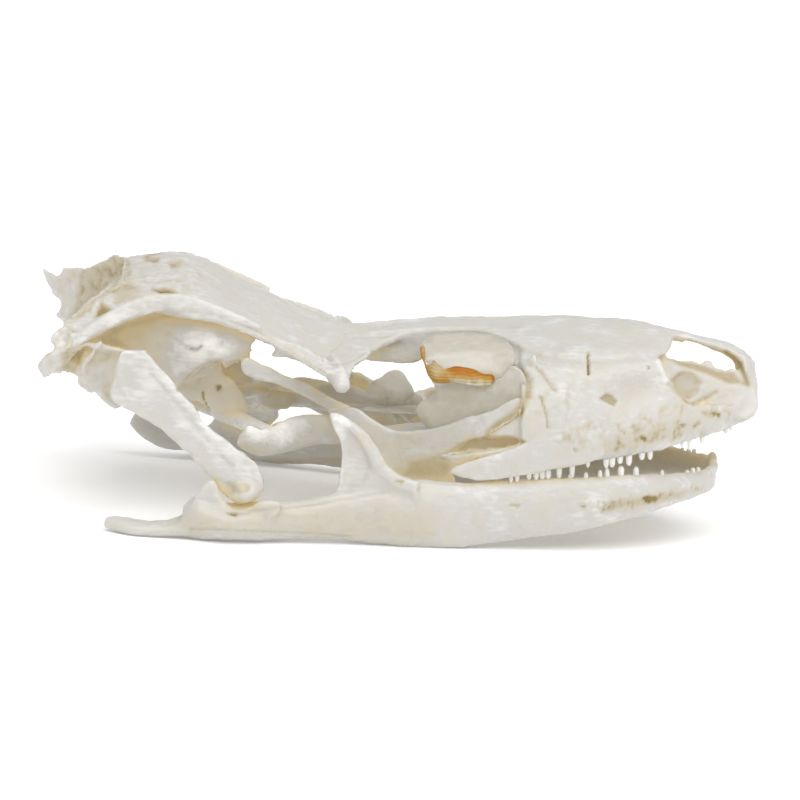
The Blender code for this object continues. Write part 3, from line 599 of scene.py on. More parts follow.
# Marks on the bones, in the photograph's frame: kind, points, width in pixels, depth in mm, stain. A stain
# above 0 tints tan, some of it painted shade of recesses, and one below 0 lightens, some of it painted
# light on bone in shade.
# A line is worn in along its points and an area within them. A rough area is uneven, and a far or
# left one only reaches what lies beyond a depth. These are on both sides of the skull.
MARKS = [
    # coarse, pitted bone at the back of the skull and on the parietal
    ("rough", [
        (40, 330), (66, 322), (100, 340), (112, 352), (112, 410), (84, 392), (40, 380),
    ], 6, 0.06, 0.3),
    ("rough", [
        (128, 262), (170, 256), (205, 264), (212, 290), (180, 296), (130, 304), (90, 322), (84, 312),
    ], 10, 0.06, 0.2),
    # painted light: the quadrate and the arch drawn lighter where they lie in shade
    ("area", [
        (120, 356), (160, 352), (190, 392), (240, 450), (258, 478), (236, 486), (200, 440), (150, 410),
        (118, 400),
    ], 14, 0.0, -0.05),
    ("area", [
        (64, 352), (100, 320), (160, 294), (230, 312), (260, 328), (230, 324), (158, 312), (100, 336),
    ], 8, 0.0, -0.1),
    # mottled tan over the roof, the snout and the lower jaw
    ("rough", [
        (150, 258), (330, 330), (400, 331), (560, 326), (640, 330), (640, 346), (520, 345), (400, 345),
        (330, 372), (230, 330), (150, 300),
    ], 16, 0.0, 0.08),
    ("rough", [
        (555, 424), (640, 412), (700, 396), (738, 412), (700, 440), (640, 456), (560, 450),
    ], 16, 0.0, 0.5),
    ("rough", [(504, 350), (560, 350), (600, 360), (590, 400), (530, 430), (500, 420)], 14, 0.0, 0.2),
    ("rough", [(596, 502), (640, 494), (700, 482), (708, 490), (640, 508), (600, 514)], 8, 0.02, 0.7),
    ("rough", [(240, 510), (420, 496), (600, 486), (600, 520), (420, 540), (200, 530)], 20, 0.0, 0.1),
    ("rough", [
        (330, 410), (400, 434), (470, 424), (500, 410), (520, 436), (440, 452), (380, 470),
    ], 12, 0.0, 0.15),
    # painted light: the pterygoid bar and the prootic drawn lighter where they lie in shade
    ("area", [
        (236, 428), (262, 412), (320, 410), (350, 412), (350, 440), (280, 446), (240, 444),
    ], 14, 0.0, -0.16),
    ("area", [
        (160, 322), (200, 322), (248, 336), (250, 352), (210, 358), (190, 372), (176, 378), (150, 340),
    ], 14, 0.0, -0.2),
    ("area", [
        (186, 514), (260, 508), (340, 500), (430, 512), (430, 546), (300, 536), (150, 534),
    ], 24, 0.0, 0.16),
    # nose: tan strip inside the bar, under the opening, and the shallow lens of the septomaxilla
    ("line", [(726, 353), (737, 362), (744, 374), (748, 384)], 6, 0.04, 0.6),
    ("area", [
        (664, 357), (700, 364), (716, 370), (734, 372), (744, 384), (728, 384), (706, 374), (680, 366),
    ], 5, 0.04, 0.5),
    ("area", [
        (673, 381), (680, 374), (690, 375), (699, 383), (698, 392), (690, 400), (681, 396), (675, 389),
    ], 4, 0.1, 0.3),
    ("line", [(672, 380), (681, 373), (692, 374), (701, 383)], 3, 0.04, 0.4),
    ("line", [(668, 384), (676, 394), (690, 404), (702, 400), (716, 392)], 4, 0.04, 0.4),
    ("rough", [(150, 330), (230, 330), (250, 345), (200, 372), (170, 380)], 10, 0.03, 0.1),
    # tan patches of the parietal
    ("area", [(143, 256), (160, 258), (158, 262), (146, 262)], 5, 0.05, 0.45),
    ("area", [(168, 262), (182, 260), (180, 268), (170, 268)], 6, 0.05, 0.4),
    ("area", [(151, 288), (165, 287), (177, 292), (166, 294)], 4, 0.12, 0.6),
    ("area", [(94, 318), (101, 301), (112, 309)], 4, 0.1, 0.6),
    ("area", [(110, 290), (128, 280), (140, 290), (130, 300), (116, 304)], 8, 0.04, 0.3),
    # painted shade, darker and tan, in the recess under the arch and by the ear, and a raised, lighter
    # ridge
    ("area", [
        (98, 338), (123, 322), (155, 315), (178, 314), (150, 324), (130, 328), (112, 336), (132, 348),
        (104, 345),
    ], 6, 0.0, 0.35),
    ("area", [(60, 352), (84, 350), (76, 374), (62, 370)], 6, 0.05, 0.35),
    ("line", [(91, 346), (116, 351), (137, 353)], 2, -0.06, -0.1),
    # crack, seam and foramen of the braincase
    ("line", [(191, 350), (196, 350), (201, 346)], 1.6, 0.08, 0.7),
    ("line", [(166, 332), (184, 345), (196, 352)], 3, 0.05, 0.1),
    ("line", [(178, 390), (186, 380), (196, 371), (208, 364), (219, 362)], 2.4, 0.1, 0.3),
    ("line", [(203, 392), (204, 400), (209, 411)], 1.8, 0.12, 0.8),
    ("area", [(215, 386), (220, 385), (222, 389), (217, 391)], 3, 0.15, 0.9),
    # roof seams
    ("line", [(228, 321), (256, 331), (290, 350), (330, 376)], 1.8, 0.05, 0.25),
    ("line", [(345, 333), (341, 345), (330, 352)], 1.6, 0.04, 0.12),
    ("line", [(312, 350), (330, 364), (350, 362), (366, 352)], 1.6, 0.05, 0.2),
    ("line", [(380, 333), (440, 329), (520, 327)], 1.5, 0.03, 0.05),
    # snout: slit, hole, groove of the prefrontal, foramina
    ("line", [(589, 353), (589, 374)], 1.8, 0.2, 1.0),
    ("area", [(600, 398), (606, 393), (612, 394), (618, 401), (615, 406), (606, 402)], 2.5, 0.12, 0.5),
    ("line", [
        (516, 369), (523, 374), (528, 380), (528, 390), (526, 398), (519, 412), (501, 423), (489, 434),
    ], 8, 0.1, 0.45),
    ("line", [(537, 367), (546, 378), (555, 390)], 3.0, 0.08, 0.35),
    ("line", [(541, 397), (546, 413), (548, 428)], 2.4, 0.08, 0.4),
    ("area", [(620, 380), (648, 372), (662, 384), (650, 402), (626, 408)], 26, 0.1, 0.08),
    ("line", [(560, 352), (600, 349), (655, 350)], 8, -0.07, 0.0),
    ("line", [(657, 362), (664, 378), (675, 394), (690, 407)], 5, -0.1, -0.1),
    ("area", [(648, 365), (651, 366), (650, 369)], 2.5, 0.1, 0.8),
    ("area", [(573, 448), (579, 450), (575, 453)], 3, 0.08, 0.5),
    ("area", [(620, 431), (627, 431), (625, 434)], 3, 0.08, 0.5),
    ("area", [(640, 437), (647, 437), (645, 442)], 4, 0.08, 0.6),
    ("area", [(678, 424), (686, 424), (684, 428)], 4, 0.08, 0.5),
    ("area", [(711, 413), (722, 413), (720, 418)], 4, 0.06, 0.5),
    ("area", [(600, 440), (660, 428), (700, 420), (690, 432), (640, 446), (600, 452)], 12, 0.0, 0.18),
    # painted shade: the lens-shaped gap under the orbit, sunk and tan, and the recess between the pterygoid
    # plate and the jaw behind the maxilla's tail, where far bone lies in shade
    ("area", [
        (450, 456), (470, 441), (488, 437), (511, 437), (527, 442), (505, 448), (470, 453),
    ], 3, 0.1, 0.5),
    ("area", [(402, 478), (410, 460), (430, 457), (446, 456), (452, 464), (448, 476)], 8, 0.0, 0.4),
    # lower jaw: long streaks, foramina and the tan band
    ("area", [
        (608, 502), (640, 497), (670, 492), (690, 490), (680, 497), (640, 506), (610, 510),
    ], 8, 0.0, 0.35),
    ("area", [(396, 481), (404, 481), (402, 484)], 2.5, 0.1, 0.7),
    ("area", [(508, 505), (520, 505), (518, 508)], 3, 0.08, 0.5),
    ("area", [(578, 505), (587, 505), (585, 509)], 3, 0.08, 0.5),
    ("area", [(642, 498), (649, 497), (647, 501)], 3, 0.08, 0.6),
    ("line", [(190, 529), (240, 531), (300, 533), (350, 537)], 2.2, 0.05, 0.12),
    ("line", [(230, 514), (300, 505), (345, 499), (390, 492)], 3, 0.06, 0.06),
    ("area", [(226, 512), (238, 512), (236, 516)], 3, 0.08, 0.5),
    ("area", [
        (344, 428), (356, 436), (366, 452), (370, 470), (364, 484), (350, 492), (340, 490), (346, 462),
    ], 8, 0.14, 0.06),
    # quadrate: saddle of the condyle, crest and streaks
    ("area", [(226, 484), (240, 480), (252, 483), (250, 492), (238, 496), (228, 494)], 6, 0.16, 0.3),
    ("line", [(150, 372), (180, 408), (214, 448), (232, 466)], 5, 0.06, 0.05),
    ("line", [(122, 356), (120, 380), (132, 402)], 3, -0.05, -0.05),
]
# These are only where the photograph shows them
RIGHT_MARKS = [
    # pitted, concave back of the far lobe
    ("rough", [
        (40, 262), (80, 258), (118, 250), (134, 262), (128, 280), (80, 322), (54, 326), (50, 290),
    ], 6, 0.06, 0.3),
    ("area", [
        (80, 268), (118, 252), (127, 257), (132, 272), (126, 278), (109, 290), (94, 303), (77, 318),
        (68, 318), (76, 300),
    ], 6, 0.1, 0.3),
    # painted light on the far half, which lies in shade behind the near side, and tan tissue on it seen
    # through the gaps
    ("far", [
        (222, 368), (300, 372), (350, 384), (400, 392), (440, 398), (440, 428), (400, 424), (340, 404),
        (240, 408),
    ], 12, 0.0, -0.2),
    ("far", [(262, 458), (342, 457), (342, 474), (262, 472)], 3, 0.0, 0.25),
    ("left", [(560, 460), (640, 450), (718, 446), (718, 486), (560, 486)], 6, 0.0, 0.25),
    ("far", [(258, 386), (292, 390), (300, 402), (286, 410), (262, 408)], 6, 0.0, 0.4),
]
TWO_SIDES = (-1, 1)
RIGHT_SIDE = (-1,)


# A tooth is a round peg with a blunt point: share of its length and of its radius
PEG_SHAPE = [(0.0, 1.0), (0.5, 1.0), (0.82, 0.85), (0.95, 0.6), (1.0, 0.3)]
PEG_SIDES = 8
TOOTH_RADIUS = 0.115
# How deep a tooth stands in the jaw, how much whiter than bone it is, and how much of the bone's painted
# shade of hollows it keeps
TOOTH_ROOT = 0.33
TOOTH_WHITENESS = 1.0
TOOTH_SHADE = 0.4
TOOTH_START_Y = -5.0
TOOTH_ROUNDS = 4


def peg(root, tip):
    """One tooth."""
    along = Vector(tip) - Vector(root)
    across = along.orthogonal().normalized()
    other = along.normalized().cross(across)
    rings = []
    for share, wide in PEG_SHAPE:
        centre = Vector(root) + along * share
        ring = []
        for k in range(PEG_SIDES):
            turn = 2 * math.pi * k / PEG_SIDES
            ring.append(centre + (across * math.cos(turn) + other * math.sin(turn)) * TOOTH_RADIUS * wide)
        rings.append(ring)
    return loft(rings)


def tooth_row(tips, edge, up):
    """Pegs of one side, each from the jaw's edge to its tip. The edge's y is found in a few rounds."""
    pegs = []
    for across, down in tips:
        y = TOOTH_START_Y
        for _ in range(TOOTH_ROUNDS):
            tip = seen(across, down, y)
            y, z = between(edge, tip.x)
        tip = seen(across, down, y)
        root = Vector((tip.x, y, z + (TOOTH_ROOT if up else -TOOTH_ROOT)))
        pegs.append(peg(root, tip))
    return pegs


# Bars by their lines in the photograph: across, down, y, half width, half thickness
NASAL_BAR = [
    (655, 331, 0.0, 0.7, 0.1), (672, 333, 0.0, 0.6, 0.12), (686, 336, 0.0, 0.55, 0.13),
        (703, 341, 0.0, 0.55, 0.15),
    (714, 344, 0.0, 0.6, 0.2), (726, 348, 0.0, 0.7, 0.24), (736, 354, 0.0, 0.8, 0.28),
        (744, 363, 0.0, 0.9, 0.3),
    (749, 375, 0.0, 1.0, 0.3), (751, 388, 0.0, 1.1, 0.3), (750, 402, 0.0, 1.0, 0.3),
        (746, 413, 0.0, 0.9, 0.24),
]
ARCH = [
    (64, 349, -6.5, 0.14, 0.16), (74, 343, -6.4, 0.2, 0.18), (86, 335, -6.3, 0.26, 0.2),
        (97, 328, -6.0, 0.32, 0.2),
    (115, 317, -5.6, 0.38, 0.2), (138, 308, -5.2, 0.4, 0.2), (158, 303, -5.0, 0.4, 0.2),
        (180, 302, -4.9, 0.36, 0.2),
    (205, 307, -4.8, 0.28, 0.18), (230, 315, -4.75, 0.2, 0.15), (262, 328, -4.85, 0.12, 0.1),
]
EAR_RIDGE = [
    (84, 344, -6.3, 0.1, 0.14), (100, 346, -6.1, 0.12, 0.16), (118, 350, -5.8, 0.1, 0.14),
        (140, 354, -5.5, 0.06, 0.1),
]
EAR_RIDGE_2 = [
    (102, 340, -6.2, 0.08, 0.1), (92, 354, -6.3, 0.1, 0.12), (84, 366, -6.2, 0.1, 0.12),
    (80, 380, -6.0, 0.1, 0.12),
]
HOOK_WEB = [
    (326, 360), (340, 352), (356, 350), (372, 350), (366, 358), (358, 362), (353, 369), (350, 378),
        (345, 384),
    (338, 376), (332, 370),
]
HOOK = [
    (326, 362, -4.5, 0.5, 0.12), (333, 369, -5.25, 0.5, 0.18), (338, 377, -5.95, 0.42, 0.24),
    (341, 384, -6.25, 0.38, 0.26), (341, 389, -6.3, 0.32, 0.22), (341, 393, -6.3, 0.17, 0.13),
]

# Plates of the right side by their outlines in the photograph
MAXILLA_TAIL = [
    (449, 473), (452, 468), (462, 464), (480, 458), (495, 454), (512, 448), (528, 443), (548, 433),
        (570, 428),
    (596, 440), (604, 455), (587, 463), (560, 467), (530, 474), (501, 479), (482, 481), (464, 478),
]
NEAR_LOBE = [
    (66, 326), (60, 330), (57, 336), (52, 340), (55, 346), (48, 355), (44, 361), (41, 368), (44, 376),
    (52, 375), (60, 371), (70, 360), (80, 346), (76, 332),
]
EAR_CRUMB = [(84, 374), (84, 386), (89, 392), (96, 390), (98, 381), (92, 374)]
EAR_CRUMB_2 = [(96, 380), (98, 394), (106, 402), (117, 408), (119, 396), (112, 386), (104, 380)]
PAROCCIPITAL = [
    (90, 345), (104, 347), (118, 351), (136, 352), (148, 350), (144, 366), (130, 388), (120, 408),
        (106, 401),
    (98, 393), (88, 387), (80, 378), (72, 374), (76, 364), (83, 354),
]
EAR_SHADE = [(60, 350), (75, 349), (92, 344), (84, 356), (76, 374), (68, 373), (60, 371), (55, 362)]
PROOTIC = [
    (150, 316), (183, 312), (201, 317), (230, 325), (246, 333), (254, 337), (253, 341), (250, 346),
        (251, 350),
    (249, 353), (251, 357), (244, 361), (237, 358), (228, 362), (220, 360), (208, 364), (196, 371),
        (186, 381),
    (178, 391), (168, 382), (156, 366), (144, 350), (136, 336), (138, 324),
]
BASISPHENOID = [
    (176, 392), (186, 379), (196, 370), (208, 363), (220, 360), (222, 373), (231, 378), (238, 386),
        (246, 400),
    (250, 411), (243, 419), (228, 423), (216, 420), (207, 409), (198, 402), (188, 400),
]
ROD = [
    (240, 362), (245, 357), (252, 359), (262, 365), (270, 367), (287, 376), (299, 380), (310, 385),
        (328, 396),
    (352, 407), (340, 415), (325, 408), (308, 398), (289, 390), (276, 384), (262, 381), (250, 377),
        (243, 373),
]
ROD_EYE = [(244, 366), (248, 362), (252, 366), (248, 370)]
FLANGE = [
    (268, 334), (274, 342), (277, 347), (271, 356), (284, 358), (298, 361), (312, 366), (322, 371),
    (330, 362), (300, 345),
]
UNDER_ORBIT = [
    (326, 408), (345, 407), (355, 407), (373, 419), (389, 428), (407, 431), (423, 429), (445, 425),
        (468, 417),
    (490, 412), (506, 403), (522, 397), (540, 404), (545, 430), (530, 442), (508, 436), (486, 437),
        (465, 442), (446, 453),
    (430, 456), (410, 458), (404, 470), (395, 480), (380, 480), (362, 466), (350, 446), (338, 428),
]
UNDER_ORBIT_FLOOR = [
    (388, 486), (398, 466), (412, 452), (446, 447), (470, 438), (530, 434), (534, 448), (500, 456),
        (470, 466),
    (455, 474), (452, 486),
]
CHEEK_STRIP = [
    (438, 457), (446, 453), (479, 450), (505, 447), (530, 441), (532, 448), (500, 455), (479, 460),
        (462, 466),
    (450, 463),
]
PREFRONTAL = [
    (502, 341), (512, 345), (522, 350), (534, 354), (548, 357), (562, 362), (566, 378), (566, 400),
        (562, 424),
    (552, 440), (528, 444), (511, 437), (492, 436), (489, 431), (503, 424), (517, 412), (524, 398),
        (523, 382),
    (515, 370), (508, 357),
]
NOSE_CUP = [
    (658, 352), (667, 357), (676, 360), (695, 361), (701, 365), (705, 361), (711, 361), (714, 367),
        (724, 370),
    (734, 369), (746, 378), (757, 395), (757, 410), (746, 420), (730, 414), (712, 408), (694, 410),
        (672, 402),
    (660, 384),
]
NOSE_INNER = [
    (716, 348), (724, 354), (733, 359), (735, 369), (744, 378), (752, 386), (755, 372), (746, 360),
        (734, 351),
]
FAR_NOSE_CUP = [
    (658, 368), (676, 376), (695, 377), (714, 381), (734, 379), (746, 384), (757, 396), (757, 410),
        (746, 420),
    (730, 414), (712, 408), (694, 410), (672, 402), (660, 390),
]
ARTICULAR = [
    (168, 533), (178, 522), (187, 511), (193, 499), (202, 486), (211, 480), (218, 486), (222, 498),
        (233, 507),
    (250, 507), (262, 501), (280, 502), (274, 516), (240, 524), (205, 532),
]


# What shows of the far side: its pterygoid with dried membrane, and the braincase's far foot
FAR_FLOOR = [
    (300, 381), (314, 386), (331, 383), (350, 385), (365, 390), (384, 396), (402, 402), (424, 400),
        (437, 396),
    (470, 406), (506, 408), (506, 430), (470, 438), (430, 442), (380, 438), (330, 420), (300, 400),
]
FAR_FOOT = [
    (224, 380), (238, 380), (252, 383), (268, 388), (290, 392), (312, 397), (336, 406), (330, 411),
        (311, 409),
    (300, 405), (292, 405), (284, 408), (272, 409), (262, 405), (254, 408), (240, 402),
]


# How far from the middle plane these plates lie: (across, y), or (down, y) for the steep ones
DEPTHS = {
    "hook web": [(350, -2.9), (358, -4.0), (367, -5.0), (375, -5.7), (384, -6.2)],
    "flange": [(268, -4.7), (330, -5.4)],
    "prefrontal": [(343, -2.55), (352, -3.1), (371, -4.6), (397, -5.5), (420, -5.8), (445, -5.95)],
    "maxilla tail": [(449, -6.35), (520, -6.2), (550, -5.9), (604, -5.3)],
    "nose cup": [(660, -2.2), (700, -1.5), (757, -0.9)],
    "nose inner": [(716, -0.2), (752, -0.3)],
    "ear crumb": [(90, -5.6)],
    "second ear crumb": [(105, -5.5)],
    "paroccipital": [(75, -6.1), (148, -5.3)],
    "ear shade": [(55, -6.0), (90, -5.7)],
    "prootic": [(140, -3.6), (200, -3.9), (254, -3.7)],
    "basisphenoid": [(180, -3.2), (250, -2.9)],
    "near lobe": [(45, -6.4), (80, -6.2)],
    "far foot": [(224, 0.6), (336, 1.4)],
    "under orbit": [(330, -4.1), (400, -4.3), (450, -4.9), (490, -5.6), (534, -5.9)],
    "orbit floor": [(390, -4.6), (452, -5.0), (530, -5.3)],
    "cheek": [(438, -5.7), (480, -6.1), (530, -5.95)],
    "far floor": [(300, 3.0), (400, 3.3)],
    "articular": [(170, -8.7), (275, -8.6)],
    "rod": [(240, -4.6), (300, -4.1), (352, -3.7)],
}
# Swellings of the plates: mm outwards, centre, radii
PROOTIC_SWELL = (0.6, (200, 346), (62, 34))
BASISPHENOID_SWELL = (-0.3, (208, 388), (30, 26))
LOBE_SWELL = (0.2, (58, 352), (18, 26))
FOOT_SWELL = (0.5, (276, 398), (30, 12))
# Thickness where it isn't that of a plain plate
CHEEK_WALL = 0.14
ROD_WALL = 0.34
ARTICULAR_WALL = 0.45
CRUMB_WALL = 0.5


def upright(y):
    """Places (x, z) of a plate that stands at this y."""
    return lambda x, z: Vector((x, y, z))


def orbit_front(x, z):
    """The plate in front of the orbit slopes back and out."""
    (middle_x, middle_y, middle_z), (along, up) = ORBIT_FRONT_MIDDLE, ORBIT_FRONT_SLOPE
    return Vector((x, middle_y + along * (x - middle_x) + up * (z - middle_z), z))


def left_lobe(x, z):
    return Vector((x, LOBE_ROOT_Y + LOBE_SPREAD * (LOBE_ROOT_X - x), z))


def roof_and_snout():
    halves = [
        sheet(FRONTAL_WALL, upright(FRONTAL_WALL_Y), THIN),
        sheet(SEPTOMAXILLA, upright(SEPTOMAXILLA_Y), THIN),
        sheet(ORBIT_FRONT, orbit_front, THIN),
        traced(HOOK),
        drawn(HOOK_WEB, DEPTHS["hook web"], THIN, by_height=True),
        traced(ARCH),
        sheet(PARIETAL_WING, lambda x, y: Vector((x, y, WING_HEIGHT - WING_FALL * y * y)), ragged=0.1),
        shell(FACE, WALL, False, [NOSTRIL], FACE_STEPS),
        drawn(FLANGE, DEPTHS["flange"], THIN),
        drawn(PREFRONTAL, DEPTHS["prefrontal"], THIN, by_height=True),
        drawn(MAXILLA_TAIL, DEPTHS["maxilla tail"], STOUT),
    ]
    near_cup = drawn(NOSE_CUP, DEPTHS["nose cup"], THIN, lean=-0.02)
    far_cup = drawn(FAR_NOSE_CUP, DEPTHS["nose cup"], THIN, lean=-0.02)
    return grown(both(halves) + [
        near_cup,
        mirrored(far_cup),
        shell(PARIETAL + FRONTAL_NASAL, WALL, True),
        traced(NASAL_BAR, UP),
        drawn(NOSE_INNER, DEPTHS["nose inner"], STOUT),
    ])


def occiput_and_braincase():
    halves = [
        strut(PAROCCIPITAL_BAR, BACK),
        traced(EAR_RIDGE),
        traced(EAR_RIDGE_2),
        strut(BASIPTERYGOID_BAR, UP),
        drawn(EAR_CRUMB, DEPTHS["ear crumb"], CRUMB_WALL),
        drawn(EAR_CRUMB_2, DEPTHS["second ear crumb"], CRUMB_WALL),
        drawn(PAROCCIPITAL, DEPTHS["paroccipital"], ragged=0.12),
        drawn(EAR_SHADE, DEPTHS["ear shade"]),
        drawn(PROOTIC, DEPTHS["prootic"], ragged=0.08, bulge=PROOTIC_SWELL),
        drawn(BASISPHENOID, DEPTHS["basisphenoid"], bulge=BASISPHENOID_SWELL),
    ]
    return grown(both(halves) + [
        drawn(NEAR_LOBE, DEPTHS["near lobe"], ROD_WALL, ragged=0.2, bulge=LOBE_SWELL),
        sheet(LEFT_LOBE, left_lobe, ragged=0.2),
        tube(BRAINCASE, STOUT, [BRAINCASE_NOTCH]),
        strut(SPHENOID_BAR, UP),
        knob(*OCCIPITAL_KNOB),
        drawn(FAR_FOOT, DEPTHS["far foot"], bulge=FOOT_SWELL),
    ])


def upper_jaw_and_palate():
    halves = [
        sheet(PALATE, lambda x, y: Vector((x, y, PALATE_HEIGHT + PALATE_RISE * x))),
        strut(PTERYGOID_BAR),
        drawn(UNDER_ORBIT, DEPTHS["under orbit"], STOUT, lean=-0.008),
        drawn(UNDER_ORBIT_FLOOR, DEPTHS["orbit floor"], THIN),
        drawn(CHEEK_STRIP, DEPTHS["cheek"], CHEEK_WALL, lean=0.01),
    ]
    far_floor = drawn(FAR_FLOOR, DEPTHS["far floor"], THIN, ragged=0.06, lean=-0.02)
    return grown(both(halves) + [far_floor])


def jaw(spur, crest_height):
    rings = []
    for x, y, half, low, high in smooth_rows(JAW):
        middle = (low + high) / 2
        tall = (high - low) / 2
        ring = []
        for k in range(JAW_SIDES):
            turn = 2 * math.pi * k / JAW_SIDES
            ring.append(Vector((x, y + half * math.cos(turn), middle + tall * math.sin(turn))))
        rings.append(ring)
    root = CORONOID[0][1]

    def raised(z):
        return root + crest_height * (z - root)

    crest = sheet(CORONOID, lambda x, z: Vector((x, CREST_Y, raised(z))))
    ridge = [(x, RIDGE_Y, raised(z), wide, RIDGE_THICK) for x, z, wide in CORONOID_RIDGE]
    hinge = drawn(ARTICULAR, DEPTHS["articular"], ARTICULAR_WALL)
    return grown([loft(rings), crest, strut(ridge), hinge, knob(*CHIN), strut(spur)])


def quadrate():
    slope = (QUADRATE_FOOT_Y - QUADRATE_HEAD_Y) / (QUADRATE_BOTTOM - QUADRATE_TOP)

    def place(x, z):
        return Vector((x, QUADRATE_HEAD_Y + slope * (z - QUADRATE_TOP), z))

    return grown([sheet(QUADRATE, place, QUADRATE_WALL, ragged=0.1), knob(*QUADRATE_FOOT)])


def rod():
    """Epipterygoid, the rod between the palate and the braincase."""
    return grown([drawn(ROD, DEPTHS["rod"], ROD_WALL, holes=[ROD_EYE])])


# Hollows, which set the painted shade, and marks, held on each bone's points


class Bone:
    """A bone's mesh while it is worked on, placed as the skull stands, in mm."""

    def __init__(self, name, bm, nodes, teeth=0):
        bmesh.ops.transform(bm, matrix=STAND, verts=bm.verts)
        self.name = name
        self.nodes = nodes
        self.mesh = bpy.data.meshes.new(name)
        bm.to_mesh(self.mesh)
        bm.free()
        self.read()
        self.hollow_shade = np.zeros(len(self.points))
        self.stain_and_shade = np.zeros(len(self.points))
        # The teeth's points are the last of the mesh
        self.teeth = teeth * PEG_SIDES * len(PEG_SHAPE)

    def read(self):
        """Takes the points and their normals from the mesh."""
        count = len(self.mesh.vertices)
        self.points = np.empty(count * 3)
        self.mesh.vertices.foreach_get("co", self.points)
        self.points = self.points.reshape(-1, 3)
        self.facing = np.empty(count * 3)
        self.mesh.vertex_normals.foreach_get("vector", self.facing)
        self.facing = self.facing.reshape(-1, 3)

    def move(self, points):
        self.mesh.vertices.foreach_set("co", points.reshape(-1))
        self.mesh.update()
        self.read()

    def triangles(self):
        self.mesh.calc_loop_triangles()
        found = np.empty(len(self.mesh.loop_triangles) * 3, dtype=np.int32)
        self.mesh.loop_triangles.foreach_get("vertices", found)
        return found.reshape(-1, 3)


def tree_of(bones):
    """One search tree over all the bones."""
    points = []
    faces = []
    start = 0
    for bone in bones:
        points.append(bone.points)
        faces.append(bone.triangles() + start)
        start += len(bone.points)
    return BVHTree.FromPolygons(np.concatenate(points).tolist(), np.concatenate(faces).tolist())


def sky_directions(count):
    """Even directions over the whole sphere."""
    found = []
    for k in range(count):
        z = 1 - 2 * (k + 0.5) / count
        turn = k * math.pi * (3 - math.sqrt(5))
        flat = math.sqrt(1 - z * z)
        found.append(Vector((flat * math.cos(turn), flat * math.sin(turn), z)))
    return found


# A point is shut in by bone within this reach, and the nearer the more. The bone's material paints shade
# from how far it is shut in.
OPEN_REACH = 7.0
REACH_LOSS = 0.6
OPEN_RAYS = 90
OPEN_SAMPLES = 9000
OFF_SKIN = 0.06
GRAZING = 0.05
NEIGHBOURS = 9
NEAREST = 0.02
OTHER_SKIN = 0.01


def shut_in(point, normal, tree, ways):
    """How far one point is shut in, 0 in the open and 1 deep inside."""
    start = point + normal * OFF_SKIN
    total = 0.0
    blocked = 0.0
    for way in ways:
        lean = way.dot(normal)
        if lean > GRAZING:
            total += lean
            hit = tree.ray_cast(start, way, OPEN_REACH)[3]
            if hit is not None:
                blocked += lean * (1 - REACH_LOSS * hit / OPEN_REACH)
    return blocked / total if total else 0.0


def find_hollows(bones):
    """How far every point is shut in, from samples around it."""
    tree = tree_of(bones)
    ways = sky_directions(OPEN_RAYS)
    for bone in bones:
        count = len(bone.points)
        step = max(1, count // OPEN_SAMPLES)
        chosen = range(0, count, step)
        kd = KDTree(len(chosen))
        shut = []
        for slot, k in enumerate(chosen):
            point = Vector(bone.points[k])
            kd.insert(point, slot)
            shut.append(shut_in(point, Vector(bone.facing[k]), tree, ways))
        kd.balance()
        # Samples on the other skin of a thin wall face away and count for little
        facing = bone.facing[::step]
        for k in range(count):
            near = kd.find_n(bone.points[k], NEIGHBOURS)
            weights = []
            for _, slot, away in near:
                alike = max(0.0, float(facing[slot] @ bone.facing[k]))
                weights.append((OTHER_SKIN + alike) / (NEAREST + away))
            bone.hollow_shade[k] = sum(w * shut[slot] for w, (_, slot, _) in zip(weights, near)) / sum(weights)


# Waves of the bone's surface: how many for each mm, and their height in mm
WAVES = ((0.8, 0.045), (2.2, 0.03), (5.0, 0.014))


def undulate(bone):
    """Real bone is never quite smooth: waves of a millimetre and small lumps."""
    points = bone.points.copy()
    for k in range(len(points)):
        at = Vector(points[k])
        wave = sum(height * noise.noise(at * rate) for rate, height in WAVES)
        points[k] += bone.facing[k] * wave
    bone.move(points)


FACING_VIEW = 0.05
OFF_SEEN_SKIN = 0.08
SEEN_REACH = 40.0


def find_seen(bones, tree):
    """Which points show from the photograph's side, and from its mirror image on the left."""
    for bone in bones:
        bone.seen = {}
        for side in TWO_SIDES:
            eye = Vector((VIEW_FROM.x, -side * VIEW_FROM.y, VIEW_FROM.z))
            ways = np.array(eye) - bone.points
            ways /= np.linalg.norm(ways, axis=1)[:, None]
            flags = (bone.facing * ways).sum(axis=1) > FACING_VIEW
            for k in np.nonzero(flags)[0]:
                start = Vector(bone.points[k]) + Vector(bone.facing[k]) * OFF_SEEN_SKIN
                if tree.ray_cast(start, Vector(ways[k]), SEEN_REACH)[0] is not None:
                    flags[k] = False
            bone.seen[side] = flags


def off_line(places, line):
    """Distance in pixels of each place from a line through points."""
    best = np.full(len(places), 1e9)
    for a, b in zip(line, line[1:]):
        a, b = np.array(a, float), np.array(b, float)
        along = b - a
        t = np.clip(((places - a) @ along) / max(along @ along, 1e-9), 0, 1)
        best = np.minimum(best, np.linalg.norm(places - a - t[:, None] * along, axis=1))
    return best


def within(places, outline):
    """Which places lie in a closed outline."""
    odd = np.zeros(len(places), bool)
    for (ax, ay), (bx, by) in zip(outline, outline[1:] + outline[:1]):
        if ay == by:
            continue
        cross = (ay > places[:, 1]) != (by > places[:, 1])
        odd ^= cross & (places[:, 0] < ax + (places[:, 1] - ay) * (bx - ax) / (by - ay))
    return odd


# Pits of a rough mark: how many for each mm, and how deep as a share
PITS = ((2.4, 1.0), (2.4 * 2.3, 0.7))
# Marks that only reach what lies beyond these depths
BEYOND = {"far": -2.6, "left": 0.3}
